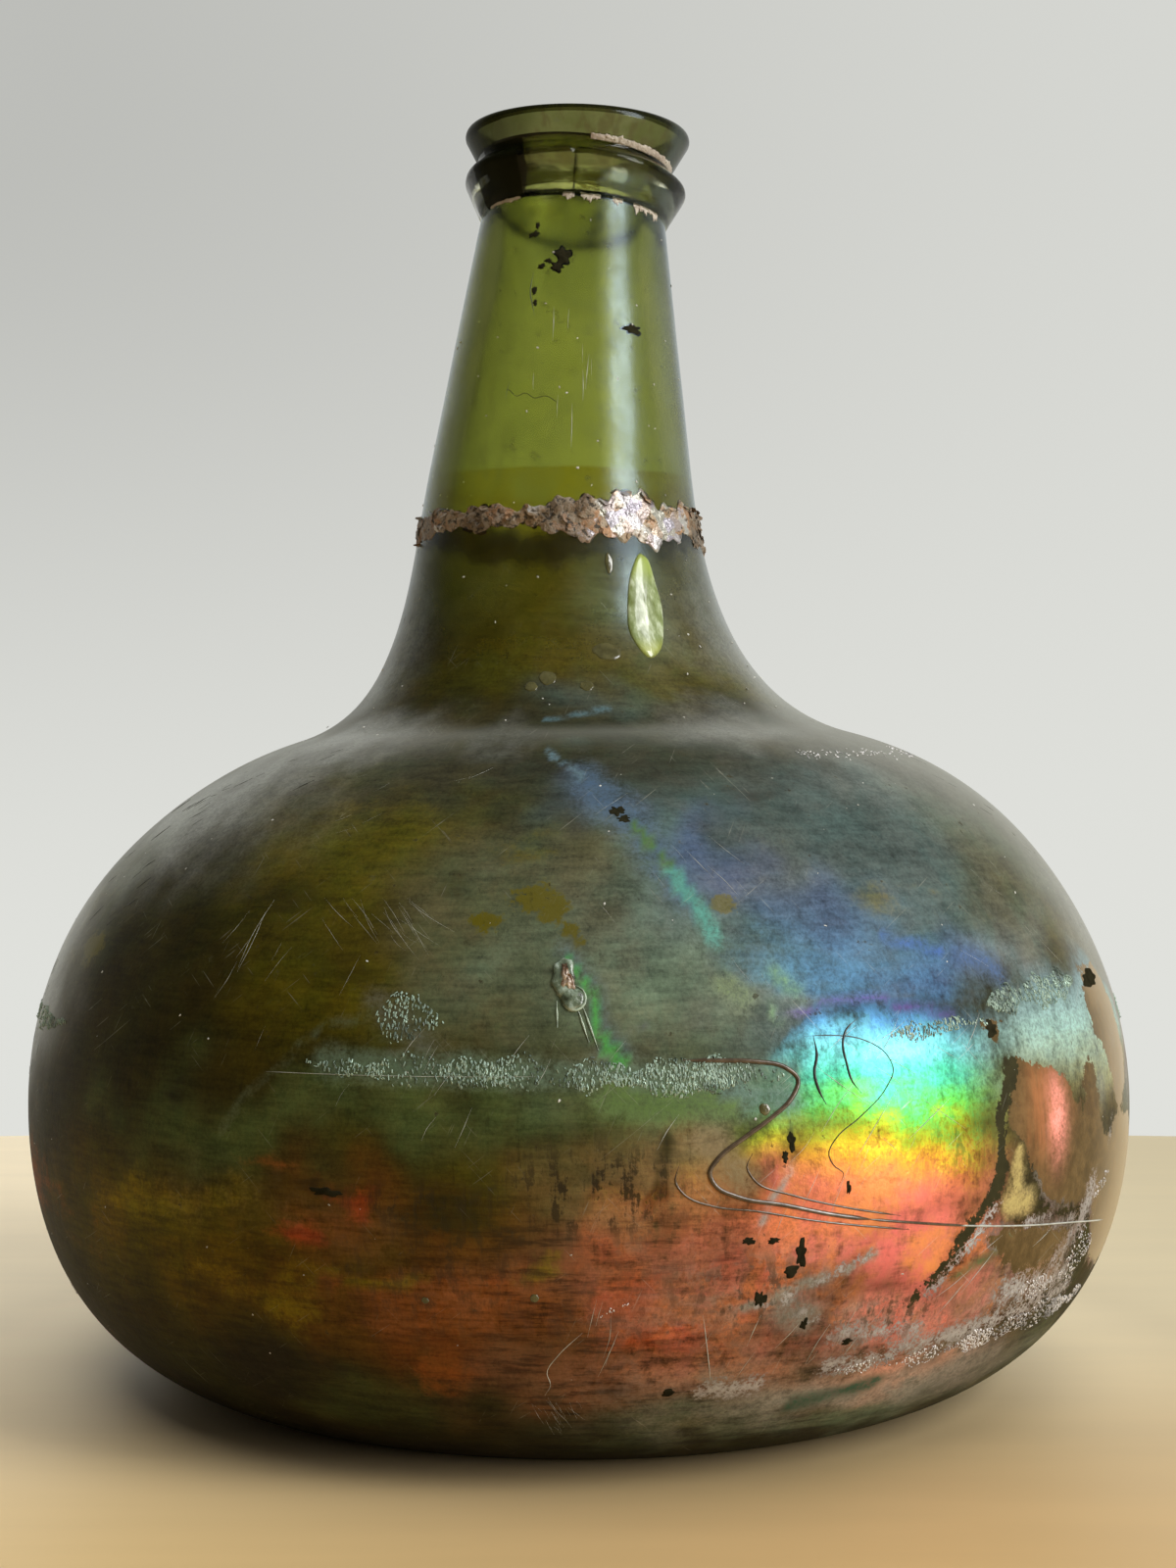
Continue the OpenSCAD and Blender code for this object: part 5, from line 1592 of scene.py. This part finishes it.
# Dark hairlines, in the same form
HAIRLINES = [
    ([(21.1, 52.2), (21.2, 50.1), (20.8, 48.4), (21.1, 46.3), (21.7, 44.8)], 1.0),
    ([(25.8, 53.9), (24.4, 52.7), (23.9, 51.4), (24, 49.2), (24.4, 47.1), (25.2, 45.8)], 0.85),
    ([(20.2, 52.2), (22.7, 52.2), (25.9, 51.6), (28.1, 50), (28.7, 48.2), (27.7, 46.2), (24.8, 43.2), (22.5, 41.2),
     (21.7, 39.5), (22.3, 38), (23.1, 37.3), (22.6, 35.9)], 0.4),
    ([(-27, 132.6), (-24.5, 132.4), (-21.5, 131.6), (-16.5, 131.9), (-12.6, 131.2), (-7, 131.4),
     (-1.3, 130.4)], 0.24),
    ([(-26.4, 131.4), (-26, 132.4), (-25.2, 133.6)], 0.4),
    ([(-19, 148.5), (-19.6, 146), (-17.6, 144), (-16, 142.5)], 0.35),
    ([(-68, 117.2), (-62, 116.6), (-54, 117.0), (-47, 116.4)], 0.8),
]
# Groups of short strokes: azimuth, height, spread of each, slope, length, count, share of the thickness
SCRATCHES = [
    (-19, 64.2, 5, 2.0, -38, 6.0, 20, 0.3), (-33, 62, 2, 3, 72, 8, 2, 0.5), (31, 47, 9, 6, 44, 8, 9, 0.8),
    (13.5, 70.5, 3, 2.5, -45, 4.5, 4, 0.5), (19, 18, 9, 3, 66, 5, 9, 0.9), (3, 20, 3, 4, 75, 6, 5, 1.0),
    (0, 135, 22, 9, 88, 5, 9, 0.7), (-4, 47, 16, 5, 62, 4, 12, 0.7), (48, 66, 12, 8, -35, 5, 6, 0.4),
    (-10, 78, 25, 6, 20, 4, 8, 0.4), (44, 25, 8, 4, 40, 6, 8, 0.9), (24, 100, 10, 4, -15, 4, 5, 0.8),
    (-1.5, 9, 2.4, 2.0, -60, 2.6, 22, 0.5), (30, 45, 9, 7, -35, 7, 8, 0.6), (24, 36, 8, 5, 60, 5, 8, 0.6),
    (6, 64, 12, 6, -50, 3, 6, 0.35), (-30, 55, 10, 10, 65, 4, 8, 0.35), (140, 60, 30, 15, -30, 7, 22, 0.9),
    (-120, 55, 30, 15, 40, 7, 22, 0.9),
]
# Single pale threads, as the cords, and groups of dark nicks, as the strokes
WHITE_THREADS = [
    ([(0.6, 20.2), (-1.5, 17.5), (-2.6, 15.2), (-2.3, 13.6), (-2.9, 12.2)], 0.8),
    ([(11, 22), (11.6, 18.5), (12.6, 13.4)], 0.9), ([(-28, 47.7), (-15, 48.0), (-3, 48.3)], 0.5),
    ([(30, 31), (37.5, 29.6), (44.5, 28.5), (53.6, 27.2), (64, 25.4)], 1.9),
]
NICKS = [
    (-63, 71, 11, 8, 35, 2.6, 20, 1.0), (-74, 50, 6, 14, 70, 2.0, 9, 0.8), (-50, 82, 12, 3, 15, 2.4, 10, 0.8),
    (60, 76, 12, 7, -30, 2.4, 10, 0.8), (-70, 108, 8, 6, 60, 1.6, 6, 0.8), (150, 72, 40, 8, -25, 2.6, 24, 0.9),
]
# Thickness of each kind in millimetres, the nicks' share of it, and the radius that strokes are measured at
CORD_THICK, HAIR_THICK, SCRATCH_THICK, DRIP_THICK = 0.27, 0.17, 0.065, 0.17
NICK_SHARE, STROKE_RADIUS = 0.75, 70.0


def strokes(groups, seed):
    """Short strokes spread about the middles of their groups."""
    draw = np.random.default_rng(seed)
    lines = []
    for azimuth, z, wide, high, slope, run, count, thick in groups:
        for _ in range(count):
            a, h = azimuth + draw.uniform(-wide, wide), z + draw.uniform(-high, high)
            way = heading(slope + draw.normal(0, 7)) * run * draw.uniform(0.4, 1.2) / 2
            turn = math.degrees(way[0] / STROKE_RADIUS)
            bend = draw.uniform(-0.06, 0.06) * run
            middle = a + math.degrees(bend / STROKE_RADIUS)
            path = [(a - turn, h - way[1]), (middle, h), (a + turn, h + way[1])]
            lines.append((path, thick * draw.uniform(0.6, 1.1)))
    return lines


class BOTTLE_OT_threads(bpy.types.Operator):
    """Lay the cords of glass, the dark hairlines and the scratches on the body"""

    bl_idname = "bottle.threads"
    bl_label = "Cords and scratches"

    def execute(self, context):
        wall, _, _ = bench()
        nicks = [(line, NICK_SHARE * thick) for line, thick in strokes(NICKS, 5)]
        # The cords' dark brown is partly their glass and partly painted shade along them.
        for name, lines, finish, thickness, sides in (
                ("glass_cords", CORDS, ("cord_glass", (0.060, 0.042, 0.026), 0.10), CORD_THICK, 8),
                ("dark_hairlines", HAIRLINES + nicks, ("hairline", (0.006, 0.009, 0.006), 0.35), HAIR_THICK, 6),
                ("fine_scratches", strokes(SCRATCHES, 9) + WHITE_THREADS, ("scratch", (0.30, 0.31, 0.27), 0.35),
                 SCRATCH_THICK, 4)):
            settle(thread_piece(name, wall, lines, cord_glass(*finish), thickness, 0.0, sides), "olive_glass")
        return {"FINISHED"}


# Mounds of the stone, the last of them its heart: azimuth, height off its own, half width, half height, and then
# how far it stands proud, its seed, how ragged it is and its lean
STONE = [
    (-1.1, 0.3, 1.35, 2.2, 0.5, 1, 0.08, 0.0), (-0.3, -2.0, 1.35, 1.35, 0.5, 2, 0.06, 0.0),
    (-0.8, 0.2, 0.75, 1.6, 0.8, 3, 0.2, -0.2),
]
# Drips from it, as the cords, and a ring of glass round its foot: place, radius, steps and turn of each in radians
DRIPS = [([(-1.7, -2.2), (-1.6, -5.0)], 1.0), ([(0.1, -2.8), (1.1, -6.6)], 0.8), ([(0.5, -2.4), (1.9, -7.4)], 0.7)]
RING_AT, RING_RADIUS, RING_STEPS, RING_TURN, RING_SHARE, DRIP_LIFT = (-0.2, -1.9), 1.35, 8, 0.7, 0.9, 0.05
# Dark flakes: azimuth, height, half width, half height
FLAKES = [
    (-3.3, 150.6, 1.3, 1.2), (-6.1, 149.2, 1.0, 0.7), (-11.2, 150.0, 0.5, 0.35), (-14.8, 149.3, 0.5, 0.4),
    (-17.5, 146.0, 0.35, 0.6), (-16.4, 144.3, 0.3, 0.45), (-21.2, 153.8, 0.7, 0.45), (-19.6, 155.0, 0.35, 0.4),
    (35.3, 141.0, 1.7, 0.7), (19.4, 28.6, 0.75, 1.9), (18.6, 26.6, 1.1, 0.8), (16.0, 23.6, 0.8, 1.1),
    (18.3, 41.0, 0.55, 1.3), (17.7, 39.4, 0.45, 0.8), (14.6, 30.3, 0.9, 0.5), (16.8, 30.2, 0.9, 0.4),
    (20.5, 20.2, 0.5, 0.8), (23.6, 35.6, 0.35, 0.9), (25.4, 17.4, 0.8, 0.5), (8.7, 12.4, 0.9, 0.6),
    (4.9, 76.8, 1.1, 0.6), (5.6, 75.9, 0.9, 0.45), (41.3, 51.7, 1.2, 1.1), (64.6, 55.6, 4.0, 1.3),
    (-21.6, 35.0, 2.4, 0.5), (130, 60, 1.4, 0.9), (150, 25, 1.1, 1.4), (-130, 62, 1.5, 0.8), (-115, 22, 1.0, 1.2),
]
# Blisters in the glass, in the same form, and the place and half size of the long one in the neck
BLISTERS = [
    (12.7, 97.1, 2.0, 1.3), (4.8, 92.5, 1.0, 0.7), (-5.3, 93.6, 1.2, 1.0), (-9.6, 92.5, 0.9, 0.7),
    (16.0, 44.6, 0.7, 0.7), (-3.5, 24.2, 0.55, 0.5), (-13, 23.5, 0.45, 0.4), (18.5, 109, 0.6, 1.5),
    (160, 96, 1.6, 1.1), (-150, 70, 1.2, 0.9), (120, 44, 0.9, 0.8),
]
LEAF = ((29.4, 103.6), (2.7, 7.3))
BLISTER_PROUD, LEAF_PROUD, FLAKE_PROUD = 0.12, 0.45, 0.07


class BOTTLE_OT_flaws(bpy.types.Operator):
    """Set the stone, the blisters and the dark flakes in the glass"""

    bl_idname = "bottle.flaws"
    bl_label = "Stone, blisters and flakes"

    def execute(self, context):
        wall, rim, _ = bench()
        top = rim.stone_height / MM
        mounds = [mound(wall, (a, top + up), (wide, high), *form) for a, up, wide, high, *form in STONE]
        parts = [(points, faces, np.full(len(points), float(k == len(STONE) - 1)))
                 for k, (points, faces, _) in enumerate(mounds)]
        obj, heart = joined("stone_in_glass", parts, [stone_finish()])
        give(obj, "heart", heart)
        settle(obj, "batch_stone", "stone_inclusion")

        drips = [([(a, top + up) for a, up in path], thick) for path, thick in DRIPS]
        ring = [(RING_AT[0] + math.degrees(RING_RADIUS / MARK_RADIUS) * math.sin(k * RING_TURN),
                 top + RING_AT[1] + RING_RADIUS * math.cos(k * RING_TURN)) for k in range(RING_STEPS)]
        drip_glass = cord_glass("drip_glass", (0.22, 0.27, 0.20), 0.12)
        lines = drips + [(ring, RING_SHARE)]
        settle(thread_piece("stone_drips", wall, lines, drip_glass, DRIP_THICK, DRIP_LIFT), "batch_stone")

        blisters = [mound(wall, spot[:2], spot[2:], BLISTER_PROUD, k, 0.05) for k, spot in enumerate(BLISTERS)]
        obj, _ = joined("glass_blisters", blisters, [cord_glass("blister_skin", (0.052, 0.048, 0.016), 0.16)])
        settle(obj, "olive_glass")
        leaf = mound(wall, *LEAF, LEAF_PROUD, 4, 0.02, 0.5, 0.05, -0.22, rings=14, sides=44)
        obj, rim_in = joined("neck_blister", [leaf], [blister_glass()])
        give(obj, "heart", rim_in)
        settle(obj, "olive_glass")

        flakes = [mound(wall, spot[:2], spot[2:], FLAKE_PROUD, 40 + k, 0.19, rings=4, sides=30)
                  for k, spot in enumerate(FLAKES)]
        obj, _ = joined("dark_flakes", flakes, [cord_glass("dark_flake", (0.014, 0.013, 0.007), 0.62, 0.0)])
        settle(obj, "brown_crust")
        return {"FINISHED"}


class BOTTLE_OT_pontil(bpy.types.Operator):
    """Finish the pontil scar in the push-up"""

    bl_idname = "bottle.pontil"
    bl_label = "Pontil scar"

    def execute(self, context):
        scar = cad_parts["pontil_scar"]
        scar.data.materials.clear()
        scar.data.materials.append(cord_glass("pontil_glass", (0.05, 0.055, 0.02), 0.25))
        return {"FINISHED"}


# The round table: how far back its edge lies, its radius and its corners
TABLE_FAR, TABLE_RADIUS, TABLE_SIDES = 0.2125, 1.4, 160
# The lights: size, place and aim, in metres
WINDOW = ((0.76, 2.16), (1.71, -1.04, 0.85), (0.0, 0.0, 0.07))
SKY = ((1.4, 1.2), (0.05, -0.12, 1.05), (0.0, -0.05, 0.0))
# Of the camera: width of its sensor in millimetres, and how near it sees in metres
SENSOR_WIDTH, CLIP_START = 36.0, 0.01


class BOTTLE_OT_stage(bpy.types.Operator):
    """Set the table, the backdrop, the light and the camera"""

    bl_idname = "bottle.stage"
    bl_label = "Stage"

    def lamp(self, name, power, size, at, to):
        """A soft light of a size, at a place, aimed at another."""
        data = bpy.data.lights.new(name, "AREA")
        data.shape = "RECTANGLE"
        data.size, data.size_y = size
        data.energy = power
        obj = placed(name, data)
        obj.location = at
        obj.rotation_euler = (Vector(to) - Vector(at)).to_track_quat("-Z", "Y").to_euler()
        return obj

    def execute(self, context):
        _, _, look, stage = settings()
        scene = bpy.context.scene
        scene.view_settings.view_transform = "Standard"
        turns = [2 * math.pi * k / TABLE_SIDES for k in range(TABLE_SIDES)]
        ring = [(TABLE_RADIUS * math.sin(a), TABLE_FAR - TABLE_RADIUS + TABLE_RADIUS * math.cos(a), 0.0)
                for a in turns]
        table = bpy.data.meshes.new("table")
        table.from_pydata(ring, [], [tuple(reversed(range(TABLE_SIDES)))])
        table.materials.append(floor_finish(look))
        obj = placed("table", table)

        world = bpy.data.worlds.new("studio")
        scene.world = world
        world.use_nodes = True
        world.node_tree.nodes.clear()
        wire = Wire(world.node_tree)
        x = wire.add("ShaderNodeSeparateXYZ", None, {0: wire.add("ShaderNodeTexCoord", out=0)})
        y, z = x.other(1), x.other(2)
        behind = (y + x * 0.12 - z.over(0.1, 0.9, 0.0, 0.35)).over(0.0, 0.65)
        room = behind.between((0.05, 0.05, 0.05), look.wall)
        shade = z.over(-0.10, 0.28) * x.over(-0.3, 0.3, 1.05, 0.30)
        backdrop = shade.between(look.wall, tuple(c * 0.68 for c in look.wall[:]))
        past = (y + x * 0.35).over(-0.2, 0.75).between((0.03, 0.03, 0.02), backdrop)
        path = wire.add("ShaderNodeLightPath")
        seen, around, beyond = (wire.add("ShaderNodeBackground", None, {"Color": tint, "Strength": 1.0})
                                for tint in (backdrop, room, past))
        shown = path.other("Is Transmission Ray").mixed(around, beyond)
        wire.add("ShaderNodeOutputWorld", None, {"Surface": path.mixed(shown, seen)})

        self.lamp("window", stage.key_power, *WINDOW)
        sky = self.lamp("sky", stage.fill_power, *SKY)
        sky.visible_glossy = False
        sky.visible_transmission = False

        data = bpy.data.cameras.new("eye")
        data.lens = stage.lens
        data.sensor_width = SENSOR_WIDTH
        data.clip_start = CLIP_START
        camera = placed("eye", data)
        camera.location = (stage.eye_side, -stage.eye_distance, stage.eye_height)
        camera.rotation_euler = (math.radians(90), 0.0, 0.0)
        scene.camera = camera
        return {"FINISHED"}


OPERATORS = (BOTTLE_OT_wall, BOTTLE_OT_string_rim, BOTTLE_OT_neck_crust, BOTTLE_OT_rim_lime, BOTTLE_OT_frost,
             BOTTLE_OT_specks, BOTTLE_OT_threads, BOTTLE_OT_flaws, BOTTLE_OT_pontil, BOTTLE_OT_stage)


class BOTTLE_PT_panel(bpy.types.Panel):
    """The bottle's pieces, in the order they are made"""

    bl_idname = "BOTTLE_PT_panel"
    bl_label = "Onion bottle"
    bl_space_type = "VIEW_3D"
    bl_region_type = "UI"
    bl_category = "Bottle"

    def draw(self, context):
        for operator in OPERATORS:
            self.layout.operator(operator.bl_idname)
        for group in GROUPS:
            box = self.layout.box()
            held = getattr(context.scene, group)
            for name in held.__annotations__:
                box.prop(held, name)


GROUPS = {"bottle_form": BottleForm, "bottle_rim": RimForm, "bottle_finishes": Finishes,
          "bottle_stage": StageSettings}
CLASSES = (*GROUPS.values(), *OPERATORS, BOTTLE_PT_panel)


def register():
    """Adds the classes, and the settings to the scene."""
    for kind in CLASSES:
        bpy.utils.register_class(kind)
    for name, kind in GROUPS.items():
        setattr(bpy.types.Scene, name, PointerProperty(type=kind))


def unregister():
    """Takes the settings and the classes away again."""
    for name in GROUPS:
        delattr(bpy.types.Scene, name)
    for kind in reversed(CLASSES):
        bpy.utils.unregister_class(kind)


def main():
    """Makes every piece in order."""
    register()
    for operator in OPERATORS:
        group, name = operator.bl_idname.split(".")
        getattr(getattr(bpy.ops, group), name)()


if __name__ == "__main__":
    main()
